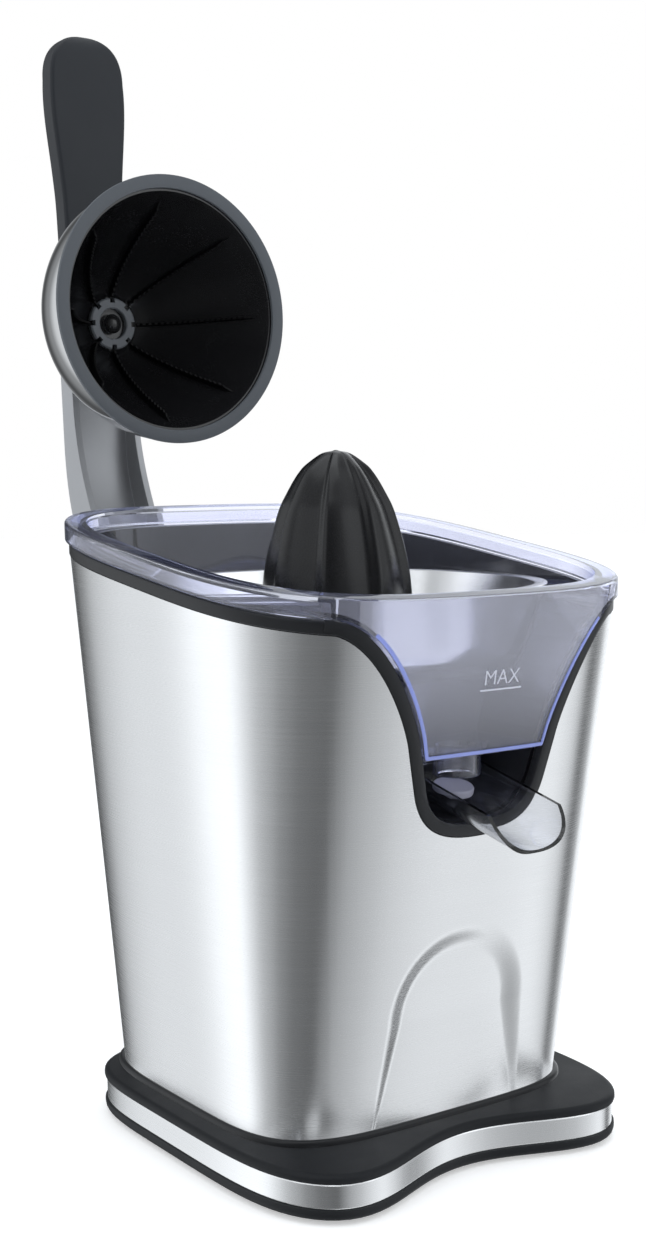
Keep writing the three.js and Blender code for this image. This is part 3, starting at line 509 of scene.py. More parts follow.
def brushed_metal(name, colour, rough, stretch, depth=0.004, anisotropy=0.0):
    """Metal with fine lines along the stretched direction and faint smudges."""
    n = Finish(name)
    lines = n.noise(0.22, stretch, detail=4.0, roughness=0.7)
    streaks = n.noise(9.0, stretch, detail=2.0)
    smudge = n.noise(38.0, detail=3.0)
    n.set(Metallic=1.0, Anisotropic=anisotropy, Anisotropic_Rotation=0.25)
    tangent = n.add("ShaderNodeTangent", direction_type="RADIAL", axis="Z")
    n.drive(Tangent=tangent.outputs["Tangent"])
    dark = tuple(c * 0.93 for c in colour)
    n.drive(Base_Color=n.blend(n.math("MULTIPLY", lines, streaks), dark, colour))
    worn = n.ramp(smudge, 0.4, 0.7, 0.0, 0.035)
    n.drive(Roughness=n.math("ADD", n.ramp(lines, 0.3, 0.7, rough - 0.05, rough + 0.06), worn))
    n.bump(lines, 0.15, depth)
    return n.material


def moulded(name, colour, rough, grain, depth, wear, coat=0.0, shine=0.3):
    """Moulded plastic or rubber: a fine grain, faint sink marks and slightly paler edges."""
    n = Finish(name)
    texture = n.noise(grain, detail=2.0)
    cloud = n.noise(22.0, detail=3.0)
    worn = tuple(min(1.0, c * (1 + 1.6 * wear) + 0.02 * wear) for c in colour)
    shade = n.blend(cloud, colour, tuple(min(1.0, c * 1.14) for c in colour))
    n.drive(Base_Color=n.blend(n.math("MULTIPLY", n.edges(), wear), shade, worn))
    n.drive(Roughness=n.ramp(n.math("ADD", texture, cloud), 0.7, 1.3, rough - 0.05, rough + 0.07))
    n.set(Coat_Weight=coat, Coat_Roughness=0.18, Specular_IOR_Level=shine)
    n.bump(texture, 0.3, depth)
    return n.material


def polished(name, colour, rough):
    """Bright metal with faint swirls from polishing and a few finger marks."""
    n = Finish(name)
    swirl = n.noise(1.6, (6, 1, 1), detail=3.0)
    marks = n.noise(26.0, detail=4.0, roughness=0.6)
    n.set(Metallic=1.0)
    n.drive(Base_Color=n.blend(marks, colour, tuple(c * 0.95 for c in colour)))
    uneven = n.math("ADD", n.math("MULTIPLY", swirl, 0.3), marks)
    n.drive(Roughness=n.ramp(uneven, 0.5, 0.9, rough, rough + 0.05))
    n.bump(swirl, 0.1, 0.002)
    return n.material


def cast_metal(name, colour):
    """Painted die casting: a fine peel, soft sheen and paler edges."""
    n = Finish(name)
    peel = n.noise(0.8, detail=3.0)
    cloud = n.noise(30.0, detail=2.0)
    bright = tuple(min(1.0, c * 1.2) for c in colour)
    shade = n.blend(cloud, colour, tuple(c * 0.93 for c in colour))
    n.drive(Base_Color=n.blend(n.math("MULTIPLY", n.edges(), 0.5), shade, bright))
    n.drive(Roughness=n.ramp(peel, 0.3, 0.7, 0.34, 0.42))
    n.set(Metallic=0.75, Coat_Weight=0.1, Coat_Roughness=0.25)
    n.bump(peel, 0.2, 0.01)
    return n.material


PLASTIC_TINT = (0.88, 0.89, 0.985)
PLASTIC_EDGE = (0.30, 0.38, 0.95)
MILK_AND_REFLECTION_RISE = 34  # height over the pocket's floor, and depth behind its front, over which the milk and the painted reflection grow
MILK_AND_REFLECTION_REACH = 9


def milk_and_reflection_share(n, least, most):
    """A share, partly milk and partly a painted reflection of the bright studio, that grows towards the top and
    the front of the collector's pocket.
    """
    split = n.add("ShaderNodeSeparateXYZ")
    n.link(n.place, split.inputs[0])
    rise = n.ramp(split.outputs["Z"], POCKET_FLOOR_Z * MM, (POCKET_FLOOR_Z + MILK_AND_REFLECTION_RISE) * MM, 0, 1)
    back = AXIS_Y + SHIELD_BACK_Y * MM
    reach = n.ramp(split.outputs["Y"], back - MILK_AND_REFLECTION_REACH * MM, back, 1, 0)
    return n.ramp(n.math("MULTIPLY", rise, reach), 0, 1, least, most)


def clear_plastic(name, milk, milk_and_reflection_high=None, rough=0.02, tint=PLASTIC_TINT, edge=PLASTIC_EDGE):
    """Clear moulded plastic, tinted where it is seen edge on, with faint flow lines, a milky share and, where a
    second share is given, a painted reflection growing towards the top and front of the pocket.
    """
    n = Finish(name)
    flow = n.noise(14.0, (1, 1, 3), detail=2.0)
    grazing = n.add("ShaderNodeLayerWeight", Blend=0.5).outputs["Facing"]
    n.set(IOR=1.47, Transmission_Weight=1 - milk)
    if milk_and_reflection_high is not None:
        # painted reflection: transmission falls towards the pocket's top and front, partly real milkiness and
        # partly the bright studio reflected there
        n.drive(Transmission_Weight=milk_and_reflection_share(n, 1 - milk, 1 - milk_and_reflection_high))
    n.drive(Base_Color=n.blend(n.ramp(grazing, 0.55, 0.97, 0.0, 1.0), tint, edge))
    n.drive(Roughness=n.ramp(flow, 0.3, 0.7, rough, rough + 0.03))
    n.bump(flow, 0.05, 0.1)
    through = n.add("ShaderNodeBsdfTransparent", Color=(0.93, 0.93, 0.98, 1.0))
    n.split_rays("Is Shadow Ray", through, "OUTPUT_MATERIAL")
    return n.material


brushed_steel = brushed_metal("brushed_steel", (0.80, 0.80, 0.805), 0.25, (260, 260, 1), anisotropy=0.6)
plain_steel = brushed_metal("plain_steel", (0.62, 0.63, 0.65), 0.34, (1, 1, 30), depth=0.006)
bronze = brushed_metal("bronze", (0.62, 0.43, 0.21), 0.36, (1, 1, 20), depth=0.006)
polished_steel = polished("polished_steel", (0.86, 0.86, 0.865), 0.03)
strainer_steel = polished("strainer_steel", (0.80, 0.80, 0.81), 0.2)
cast_silver = cast_metal("cast_silver", (0.36, 0.365, 0.38))

black_satin = moulded("black_satin", (0.010, 0.0105, 0.012), 0.33, 0.3, 0.006, wear=0.4, shine=0.25)
base_black = moulded("base_black", (0.011, 0.012, 0.014), 0.5, 0.3, 0.012, wear=0.4, shine=0.15)
black_gloss = moulded("black_gloss", (0.008, 0.008, 0.009), 0.22, 0.6, 0.003, wear=0.2, coat=0.5)
reamer_black = moulded("reamer_black", (0.008, 0.008, 0.009), 0.25, 0.3, 0.004, wear=0.2)
black_matte = moulded("black_matte", (0.020, 0.021, 0.024), 0.46, 0.45, 0.02, wear=0.6)
rib_black = moulded("rib_black", (0.003, 0.003, 0.0035), 0.4, 0.5, 0.002, wear=0.1, shine=0.12)
slate_rim = moulded("slate_rim", (0.066, 0.073, 0.083), 0.5, 0.4, 0.01, wear=0.5)
slate_grip = moulded("slate_grip", (0.019, 0.021, 0.025), 0.45, 0.45, 0.02, wear=0.5, shine=0.22)
grey_hub = moulded("grey_hub", (0.13, 0.14, 0.155), 0.4, 0.5, 0.01, wear=0.4)
grey_rubber = moulded("grey_rubber", (0.33, 0.33, 0.40), 0.6, 0.5, 0.02, wear=0.2)
dark_rubber = moulded("dark_rubber", (0.018, 0.018, 0.019), 0.75, 0.5, 0.03, wear=0.4)
nylon = moulded("nylon", (0.75, 0.72, 0.63), 0.5, 0.6, 0.01, wear=0.1)
engraved = moulded("engraved", (0.50, 0.51, 0.58), 0.5, 0.3, 0.01, wear=0.1)

clear = clear_plastic("clear_plastic", 0.02)
# its milk grows towards the pocket's top and front, partly a real milkiness and partly a painted reflection of the
# bright studio
clear_shield = clear_plastic("clear_shield", 0.02, 0.16, tint=(0.80, 0.81, 0.91))
clear_spout = clear_plastic("clear_spout", 0.0, tint=(0.89, 0.90, 0.93), edge=(0.30, 0.33, 0.42))
clear_edge = clear_plastic("clear_edge", 0.45, rough=0.08, tint=(0.42, 0.50, 0.98))

SLOT_MATERIALS = {
    "brushed_steel": brushed_steel,
    "polished_steel": polished_steel,
    "plain_steel": plain_steel,
    "bronze": bronze,
    "cast_silver": cast_silver,
    "black_satin": black_satin,
    "black_matte": black_matte,
    "grey_rim": slate_rim,
    "grey_rubber": grey_rubber,
    "dark_rubber": dark_rubber,
    "nylon": nylon,
    "clear_plastic": clear,
}


def dress_carried_nodes():
    """Gives every CAD node that stays in view or inside the body its slot's material."""
    slots = {part["node"]: part["material_slot"] for part in frame["record"]["subparts"]}
    for name, piece in frame["nodes"].items():
        piece.data.materials.clear()
        piece.data.materials.append(SLOT_MATERIALS[slots[name]])


# ---------- base ----------
BASE_TOP = cover_span.high
BAND_LOW = span("base_trim_band").low
BAND_HIGH = span("base_trim_band").high
TRAY_LOW = span("base_bottom_cover").low
COLLAR_TOP = span("body_collar").high


def middle_of(node):
    place = span(node)
    return (place.left + place.right) / 2, (place.front + place.back) / 2


def build_bottom_cover():
    """The tray under the base, with a seat for each rubber foot and each screw."""
    tray = [(i, BAND_LOW - GAP - (z - TRAY_LOW)) for i, z in quarter(0, TRAY_LOW + 1.6, 2.2, 3.2)]
    tray = [base_ring(i, z) for i, z in reversed(tray)] + [base_ring(0, BAND_LOW - GAP)]
    seats = []
    for number in range(1, 5):
        seats.append(lathe("seat", [(9.3, -1), (9.3, 2.2)], *middle_of(f"rubber_foot_{number}")))
        hole = [(3.9, -1), (3.9, 4.2), (2.1, 4.2), (2.1, 7)]
        seats.append(lathe("seat", hole, *middle_of(f"base_screw_{number}"), 48))
    bottom = combine(loft("bottom_cover", tray), "DIFFERENCE", *seats)
    finish_piece(bottom, base_black, "black_satin", "stand", "base_bottom_cover")
    bottom.visible_glossy = False


def build_trim_band():
    band = [(2.3, BAND_LOW), (1.2, BAND_LOW), (0.9, BAND_LOW + 0.4)]
    band += [(inset, BAND_LOW + BAND_HIGH - z) for inset, z in reversed(band)]
    band = loft("trim_band", [base_ring(i, z) for i, z in band], hollow=True)
    finish_piece(band, brushed_steel, "brushed_steel", "stand", "base_trim_band")


def build_top_cover():
    low = BAND_HIGH + GAP
    edge = [(0.6, low), (0.15, low + 0.25), (0, low + 0.8), *quarter(0, BASE_TOP - 1.9, 2.4, 1.9)]
    rings = [base_ring(i, z) for i, z in edge]
    rings += [level_ring(FOOT, 5, BASE_TOP), level_ring(FOOT, 5, low)]
    cover = loft("top_cover", rings, hollow=True)
    finish_piece(cover, base_black, "black_satin", "stand", "base_top_cover")
    cover.visible_glossy = False  # keeps its dark mirror image off the foot of the steel


def build_collar():
    """The thin gasket round the foot of the steel, as pairs of growth and drop from its top."""
    seat = COLLAR_TOP - FOOT_Z + GAP
    collar = [(0.3, seat), (0.3, 0.5), (0.5, 0.15), (0.9, 0), (1.4, 0.1), (1.9, 0.4), (2.25, 0.9)]
    collar += [(COLLAR_REACH, 1.5), (COLLAR_REACH, seat)]
    collar = [level_ring(FOOT, -grow, COLLAR_TOP - drop) for grow, drop in collar]
    collar = loft("foot_gasket", collar, hollow=True)
    finish_piece(collar, black_satin, "black_satin", "stand", "body_collar")
    collar.visible_glossy = False


# ---------- steel body ----------
ARCH_SPRING = 68.0  # height where the arch's head starts
ARCH_LEAN = 0.085  # how fast the legs spread downwards
ARCH_POWER = 2.1
ARCH_OUTER = (35.9, 39.0)  # half width and height of the head, outside and inside its bevel
ARCH_INNER = (27.7, 29.3)
ARCH_BEVEL = 8.2
ARCH_DEPTH = 3.4
ARCH_FADE = 0.25  # what is left of the depth and the bevel at the foot
ARCH_ROWS_TOP = 112.0  # below this height the steel's rows of points are close together


def arch_fade(z):
    return mix(ARCH_FADE, 1.0, min(1.0, (z - FOOT_Z) / (ARCH_SPRING - FOOT_Z)))


def arch_share(x, z):
    """How far a point of the front is down the arch's bevel: 0 on the face and 1 on its floor."""
    if z < ARCH_SPRING:
        width = ARCH_OUTER[0] + ARCH_LEAN * (ARCH_SPRING - z)
        return min(1.0, max(0.0, (width - abs(x)) / (ARCH_BEVEL * arch_fade(z))))

    def outside(share):
        a, b = (mix(o, i, share) for o, i in zip(ARCH_OUTER, ARCH_INNER))
        return abs(x / a) ** ARCH_POWER + ((z - ARCH_SPRING) / b) ** ARCH_POWER > 1

    if outside(0.0):
        return 0.0
    if not outside(1.0):
        return 1.0
    low, high = 0.0, 1.0
    for _ in range(12):
        middle = (low + high) / 2
        low, high = (low, middle) if outside(middle) else (middle, high)
    return low


def arch_depth(x, z):
    """How far the front is pressed in at a point."""
    share = arch_share(x, z)
    return ARCH_DEPTH * arch_fade(z) * mix(share, smoothstep(share), 0.6)


def shell_columns():
    """The directions of the steel's columns, each with the height of its top edge."""
    line = notch_line()
    xs = {round(x, 2) for x, _ in line} | {float(x) for x in range(-73, 74)}
    xs |= {side * (34 + 0.4 * i) for side in (-1, 1) for i in range(13)}
    kept = []
    for x in sorted(xs):
        if not kept or x - kept[-1] > 0.25:
            kept.append(x)
    front = []
    for x in kept:
        right = next(i for i in range(1, len(line)) if line[i][0] >= x - 1e-6)
        (xa, za), (xb, zb) = line[right - 1], line[right]
        z = mix(za, zb, (x - xa) / (xb - xa))
        front.append((front_angle(x, z), z))
    start, end = front[-1][0], front[0][0] + 2 * math.pi
    rest = [mix(start, end, i / 150) for i in range(1, 150)]
    return front + [(a, None) for a in rest]


def build_shell():
    """The tapered steel wall, with its notch and the arch pressed into its front."""
    columns = shell_columns()
    rows_low = int((ARCH_ROWS_TOP - FOOT_Z) / 1.2)
    rows_high = 26
    sheets = []
    for inset in (0.0, STEEL):
        for row in range(rows_low + rows_high + 1):
            ring = []
            for angle, top in columns:
                rim_y = outline_point(RIM, angle)[1]
                top = min(rim_height(rim_y), top) if top is not None else rim_height(rim_y)
                if row <= rows_low:
                    z = mix(FOOT_Z, ARCH_ROWS_TOP, row / rows_low)
                else:
                    z = mix(ARCH_ROWS_TOP, top, (row - rows_low) / rows_high)
                x, _, _ = wall_level(angle, z)
                pressed = arch_depth(x, z) if math.sin(angle) < 0 and z < ARCH_ROWS_TOP else 0.0
                ring.append(wall_level(angle, z, inset + pressed))
            sheets.append(ring)
    outer, inner = sheets[: len(sheets) // 2], sheets[len(sheets) // 2 :]
    shell = loft("steel_body", outer + inner[::-1], hollow=True)
    finish_piece(shell, brushed_steel, "brushed_steel", "stand", "body_shell", crease=48)


def build_trim():
    """The black trim on the rim of the steel, which also lines the notch."""
    high = span("rim_trim").high - rim_height(RIM.back + 0.4)
    profile = [(1.9, GAP), (-0.1, GAP), (-0.4, GAP + 0.4), (-0.4, high - 1.5)]
    profile += [(i - 0.4, z) for i, z in quarter(0, high - 1.5, 1.3, 1.5)[1:]]
    profile += [(1.9, high)]
    ring = loft("rim_trim_ring", [wall_ring(1, i, rise) for i, rise in profile], hollow=True)
    ring = combine(ring, "DIFFERENCE", notch_prism(TRIM_WIDTH, 0.0))

    section = [(GAP, 3.6), (GAP, 0.1), (0.55, -0.3), (1.1, -0.5), (4.7, -0.5), (5.5, -0.2)]
    section += [(TRIM_WIDTH, 0.6), (TRIM_WIDTH, 3.6)]
    edges = []
    for width, inset in section:
        edges.append([front_point(x, z, inset) for x, z in offset_line(notch_line(), width)])
    trim = combine(ring, "UNION", loft("lining", across(edges)))
    finish_piece(trim, black_satin, "black_satin", "stand", "rim_trim", crease=30)


# ---------- collector ----------
def below(rise):
    """Everything lower than a rise over the rim."""
    return loft("below", [wall_ring(0, -10), wall_ring(1, -10, rise)])


def bowl(offset, top=SHELF_Z + 1):
    """The round bowl under the strainer, grown by an offset."""
    floor = BOWL_FLOOR_Z - offset
    corner = [(72, floor), (76, floor + 0.3), (79 + 0.7 * offset, floor + 1.4 + 0.3 * offset)]
    corner += [(81.5 + 0.9 * offset, 211 - 0.4 * offset), (83.2 + offset, 214.5), (84.4 + offset, 219)]
    return lathe("bowl", [(0, floor), *corner, (88.3 + offset, top), (0, top)])


def mouth(offset, top):
    """The space over the shelf, within the flange, grown by an offset."""
    inset = LIP_INSET - offset
    low = [wall_level(a, SHELF_Z - offset, inset) for a in turns()]
    return loft("mouth", [low, wall_ring(1, inset, FLANGE_HIGH), wall_ring(1, inset, top)])


def pocket(width, depth, floor, back):
    """The pocket in the notch, whose front wall leans out until it is flush with the flange."""
    side = loft("side", [wall_ring(0.5, depth), wall_ring(SHIELD_TOP, depth - SHIELD_LEAN)])
    return combine(notch_prism(width, back, floor), "INTERSECT", side)


NOZZLE_Y = -83.0
NOZZLE_BOTTOM = 169.5
NOZZLE_RADIUS = 9.75
NOZZLE_BORE = 7.8


def build_collector():
    """The flange, shelf, bowl, front pocket, nozzle and the chimney round the drive shaft."""
    edge = quarter(-FLANGE_OVERHANG, FLANGE_HIGH - 1.4, 1.4, 1.4)
    flange = [(-FLANGE_OVERHANG + 0.5, FLANGE_LOW), (-FLANGE_OVERHANG, FLANGE_LOW + 0.5), *edge]
    body = loft("collector", [wall_ring(1, i, rise) for i, rise in flange])
    inner = combine(mouth(COLLECTOR_WALL, 30), "UNION", bowl(COLLECTOR_WALL))
    inner = combine(inner, "INTERSECT", below(FLANGE_HIGH - 1))
    body = combine(body, "UNION", inner)
    groove = [(0.5, 0), (0.5, 12.2), (4.2, 12.2), (4.2, 0)]
    groove = loft("groove", [wall_ring(1, i, rise) for i, rise in groove], hollow=True)
    body = combine(body, "DIFFERENCE", groove)
    spill = [(NOZZLE_RADIUS - 0.5, NOZZLE_BOTTOM), (NOZZLE_RADIUS, NOZZLE_BOTTOM + 0.5)]
    nozzle = lathe("nozzle", spill + [(NOZZLE_RADIUS, POCKET_FLOOR_Z + 1)], 0, NOZZLE_Y)
    walls = (POCKET_INSET, SHIELD_INSET, POCKET_FLOOR_Z)
    body = combine(body, "UNION", pocket(*walls, POCKET_BACK_Y), nozzle)
    space = pocket(*(wall + COLLECTOR_WALL for wall in walls), POCKET_BACK_Y - COLLECTOR_WALL)
    bore = lathe("bore", [(NOZZLE_BORE, 150), (NOZZLE_BORE, 200)], 0, NOZZLE_Y)
    body = combine(body, "DIFFERENCE", bowl(0), mouth(0, 32), space, bore)
    body = combine(body, "UNION", lathe("chimney", [(12.2, BOWL_FLOOR_Z - 2), (12.2, 230), (11.4, 231)]))
    body = combine(body, "DIFFERENCE", lathe("well", [(9.4, 190), (9.4, 229), (5.2, 229), (5.2, 240)]))
    finish_piece(body, clear, "clear_plastic", "collector", "juice_collector", crease=38)
    body.data.materials.append(clear_shield)
    for face in body.data.polygons:
        y = (face.center.y - AXIS_Y) / MM
        face.material_index = int(y < SHIELD_BACK_Y and face.center.z / MM < rim_height(y) + FLANGE_LOW)


def shield_inset(z):
    """How far the shield's front is behind the steel's surface at a height."""
    share = (z - FOOT_Z) / (rim_height(-RIM.front) - FOOT_Z)
    return SHIELD_INSET - SHIELD_LEAN * (share - 0.5) / (SHIELD_TOP - 0.5)


def shield_point(x, z, depth):
    return front_point(x, z, shield_inset(z) + depth)


def build_shield_edge():
    """A bluish bead along the sides and the foot of the collector's front wall."""
    middle = POCKET_INSET + COLLECTOR_WALL / 2
    foot = POCKET_FLOOR_Z + COLLECTOR_WALL / 2
    line = [p for p in offset_line(notch_line(), middle) if p[1] > foot]
    sides = [p for p in line if p[1] < rim_height(front_point(*p)[1]) + 2]
    left = [p for p in sides if p[0] < 0]
    right = [p for p in sides if p[0] > 0]
    reach = left[-1][0]
    path = left + [(reach * (1 - 2 * i / 20), foot) for i in range(21)] + right
    lines = []
    for angle in turns(10):
        moved = offset_line(path, 0.8 * math.cos(angle))
        lines.append([shield_point(x, z, 0.4 * math.sin(angle) - 0.05) for x, z in moved])
    bead = loft("shield_edge", across(lines))
    finish_piece(bead, clear_edge, "clear_plastic", "collector", crease=80)


def build_level_mark():
    """The word MAX and a line under it, engraved in the front of the collector."""
    curve = bpy.data.curves.new("level_text", "FONT")
    curve.body = "MAX"
    curve.size = 8.6
    curve.align_x = "CENTER"
    curve.extrude = 0.12
    curve.offset = -0.09
    text = show("level_text", curve)
    mesh = evaluated(text)
    bpy.data.objects.remove(text)
    middle, foot, depth = 3.5, 208.6, 0.02
    corners = [v.co for v in mesh.vertices]
    points = [shield_point(c.x + middle, c.y + foot, depth - c.z) for c in corners]
    letters = mesh_piece("level_mark", points, [tuple(p.vertices) for p in mesh.polygons])
    finish_piece(letters, engraved, "clear_plastic", "collector")
    bar = [(-10.5, 206.2), (10.5, 206.2), (10.5, 206.9), (-10.5, 206.9)]
    rings = [[shield_point(x + middle, z, step) for x, z in bar] for step in (-0.1, 0.14)]
    finish_piece(loft("level_line", rings), engraved, "clear_plastic", "collector")


# ---------- strainer and reamer ----------
SHEET = 0.9
SLOT_ROWS = 4
SLOT_HALF_LENGTH = 5
SLOT_HALF_WIDTH = 0.9


def build_strainer():
    """A pressed steel dish with rings of radial slots in its floor."""
    sheet = span("strainer")
    radius, shelf, floor = sheet.right, sheet.high, sheet.low
    under = shelf - SHEET
    profile = [(radius, shelf - 0.3), (radius - 0.3, under), (87.4, under), (86.6, under - 0.8)]
    profile += [(82.5, 221), (80.6, 215.4), (77.4, 212.2), (73, floor), (16.6, floor), (16.6, 221)]
    profile += [(15.7, 221), (15.7, floor + SHEET), (72.8, floor + SHEET), (76.9, 213), (79.8, 215.9)]
    profile += [(81.7, 221.4), (85.9, shelf - 0.6), (86.8, shelf), (radius - 0.3, shelf)]
    dish = lathe("strainer_dish", profile, hollow=True)
    slots = []
    for row in range(SLOT_ROWS):
        middle = 26 + 13 * row
        along = (middle - SLOT_HALF_LENGTH, middle + SLOT_HALF_LENGTH)
        count = 24 + 12 * row
        for i in range(count):
            turn = Matrix.Rotation(2 * math.pi * (i + 0.5 * (row % 2)) / count, 4, "Z")
            slots.append(box("slot", along, (-SLOT_HALF_WIDTH, SLOT_HALF_WIDTH), (205, 216), turn))
    dish = combine(dish, "DIFFERENCE", join_meshes("slots", slots))
    finish_piece(dish, strainer_steel, "polished_steel", "strainer_dish", "strainer", crease=40)


def curve_through(pairs, count):
    """Evenly spread points on a smooth curve through the pairs."""
    points = []
    last = len(pairs) - 1
    for step in range(count + 1):
        place = step / count * last
        k = min(int(place), last - 1)
        t = place - k
        p = [pairs[min(max(k + d, 0), last)] for d in (-1, 0, 1, 2)]
        point = []
        for a, b, c, d in zip(*p):
            bend = (2 * a - 5 * b + 4 * c - d) * t**2 + (3 * b - a - 3 * c + d) * t**3
            point.append(0.5 * (2 * b + (c - a) * t + bend))
        points.append(tuple(point))
    return points


REAMER_RIBS = 8
RIB_STEPS = 24
RIB_DEPTH = 2.9
RIB_FALL = 0.78  # share of a rib's pitch over which its gentle side falls


def rib_height(share):
    """A rib's height over its pitch: a gentle fall, then a steep rise to the next crest."""
    if share < RIB_FALL:
        return (1 + math.cos(math.pi * share / RIB_FALL)) / 2
    return smoothstep((share - RIB_FALL) / (1 - RIB_FALL)) ** 1.3


def build_reamer():
    """The cone, as pairs of depth under its tip and radius, with eight ribs that fade at both ends."""
    top = span("reamer_cone").high
    height = 83.2
    line = [(0.0, 0.4), (0.4, 1.6), (2, 6.6), (9.3, 13.6), (18, 19), (27, 23.2), (45, 28.2)]
    line += [(62, 31), (height, 34.2)]
    sides = REAMER_RIBS * RIB_STEPS
    rings = []
    for depth, radius in curve_through(line, 72):
        fade = min(1, depth / 7) * (1 - 0.7 * smoothstep((depth - 52) / 30))
        ring = []
        for i, angle in enumerate(turns(sides)):
            r = max(0.3, radius) + RIB_DEPTH * fade * (rib_height((i % RIB_STEPS) / RIB_STEPS) - 0.12)
            ring.append((r * math.cos(angle), r * math.sin(angle), top - depth))
        rings.append(ring)
    inside = [(31.8, top - height), (28.6, 240), (21, 268), (8.4, 284), (4.4, 284), (4.4, 236)]
    inside.append((0.1, 236))
    rings += [circle(r, z, sides=sides) for r, z in inside]
    cone = loft("reamer", rings)
    finish_piece(cone, reamer_black, "black_satin", "reamer", "reamer_cone", crease=60)


# ---------- spout ----------
SPOUT = Matrix.Translation(SPOUT_PIVOT) @ Matrix.Rotation(SPOUT_TILT, 4, "X")
SPOUT_HALF = 19.0
SPOUT_DEPTH = 14.5
SPOUT_WALL = 1.8
SPOUT_LENGTH = 62.0  # to the end of the trough's side edges
SPOUT_TIP = 72.8  # to the end of its floor


def trough(name, inset, back, front):
    """A solid of the trough's oval section that runs from back to front."""
    half, deep = SPOUT_HALF - inset, SPOUT_DEPTH - inset
    rings = [[(half * math.cos(a), y, deep * math.sin(a)) for a in turns()] for y in (back, front)]
    return loft(name, rings, turn=SPOUT)


def build_spout():
    """The trough, whose floor reaches further than its side edges, and the disc under the nozzle."""
    nose = side_outline(
        (-10, 5),
        (-10, -30),
        (SPOUT_TIP - 8, -30),
        (SPOUT_TIP - 2, -SPOUT_DEPTH - 0.4),
        ((SPOUT_TIP + 2, -12), (SPOUT_LENGTH + 6, -5), (SPOUT_LENGTH, 0)),
        (SPOUT_LENGTH, 5),
    )
    nose = side_prism("nose", nose, 30, SPOUT)
    channel = combine(trough("spout_channel", 0, -3, -SPOUT_TIP - 5), "INTERSECT", nose)
    inside = trough("inside", SPOUT_WALL, -3 - SPOUT_WALL, -SPOUT_TIP - 10)
    channel = combine(channel, "DIFFERENCE", inside, box("above", (-40, 40), (-90, 20), (0, 40), SPOUT))
    channel = combine(channel, "UNION", rod("hinge", 3.4, SPOUT_HALF + 1, SPOUT))
    channel = combine(channel, "DIFFERENCE", rod("bore", 1.8, 30, SPOUT))
    rounded(channel, 0.6)
    finish_piece(channel, clear_spout, "clear_plastic", "pouring_spout", "spout", crease=40)

    top = NOZZLE_BOTTOM - 0.4 - SPOUT_PIVOT.z
    y = NOZZLE_Y - SPOUT_PIVOT.y
    low = -SPOUT_DEPTH + SPOUT_WALL + 0.6
    profile = [(3, low), (3, top - 3.9), (7.6, top - 3.4), (8.2, top - 3.1), (8.4, top - 2.6)]
    seal = lathe("seal_disc", profile + [(8.4, top - 0.6), (8.0, top)], 0, y, turn=SPOUT)
    finish_piece(seal, grey_rubber, "grey_rubber", "pouring_spout", "spout_seal")


# ---------- lever ----------
LEVER = Matrix.Translation(PIVOT) @ Matrix.Rotation(-OPEN_ANGLE, 4, "X")
DOME_FORWARD = PIVOT.y
DOME_UP = 2.8
DOME = LEVER @ Matrix.Translation((0, -DOME_FORWARD, DOME_UP))
ARM_HALF = 19.0
ARM_WALL = 3.4


def arm_outline():
    """The arm's shape from the side, with a round end about the pivot."""
    outline = side_outline(
        (10.5, 0),
        (10.5, 33),
        ((11, 51), (20, 60), (33.1, 65)),
        ((48, 71.5), (66, 78), (89.4, 78)),
        (138, 78),
        (138, 90.2),
        (62, 90.2),
        ((30, 89), (6, 80), (-5, 58)),
        ((-10, 48), (-13, 38), (-13, 26)),
        (-13, 0),
    )
    arc = [math.pi + math.pi * i / 20 for i in range(1, 20)]
    return outline + [(-1.25 + 11.75 * math.cos(a), 11.75 * math.sin(a)) for a in arc]


def build_arm():
    """A channel that is open towards the press, with a boss for the dome and a tongue for the grip."""
    hollow = side_outline(
        (-4, 26),
        ((-4, 38), (0, 46), (4, 54)),
        ((12, 70), (30, 84), (62, 86.6)),
        (132, 86.6),
        (132, 60),
        (20, 26),
    )
    arm = side_prism("lever_channel", arm_outline(), ARM_HALF, LEVER)
    arm = combine(arm, "DIFFERENCE", side_prism("hollow", hollow, ARM_HALF - ARM_WALL, LEVER))
    boss = lathe("boss", [(7.4, 78.2), (7.4, 88)], 0, -DOME_FORWARD, 64, turn=LEVER)
    tongue = box("tongue", (-7, 7), (-196, -130), (83, 88), LEVER)
    arm = combine(arm, "UNION", boss, tongue)
    hub = rod("hub", 7.3, 40, LEVER)
    bore = lathe("bore", [(3, 60), (3, 87)], 0, -DOME_FORWARD, 32, turn=LEVER)
    arm = combine(arm, "DIFFERENCE", hub, bore)
    rounded(arm, 0.9)
    finish_piece(arm, cast_silver, "cast_silver", "lever", "lever_arm", crease=40)


GRIP_START = 138.7
GRIP_SHOULDER = 246  # where its sides start to round off
GRIP_END = 267.7
GRIP_MIDDLE = 85.4  # height of the grip's middle line over the pivot
GRIP_HALF = 5.9
GRIP_CORNER = 2.2


def rounded_rectangle(half_width, half_height, radius, steps=8):
    """The outline of a rectangle about the origin with rounded corners."""
    radius = min(radius, 0.98 * half_width, 0.98 * half_height)
    points = []
    for corner, (sx, sy) in enumerate(((1, 1), (-1, 1), (-1, -1), (1, -1))):
        for i in range(steps + 1):
            angle = math.pi / 2 * (corner + i / steps)
            x = sx * (half_width - radius) + radius * math.cos(angle)
            points.append((x, sy * (half_height - radius) + radius * math.sin(angle)))
    return points


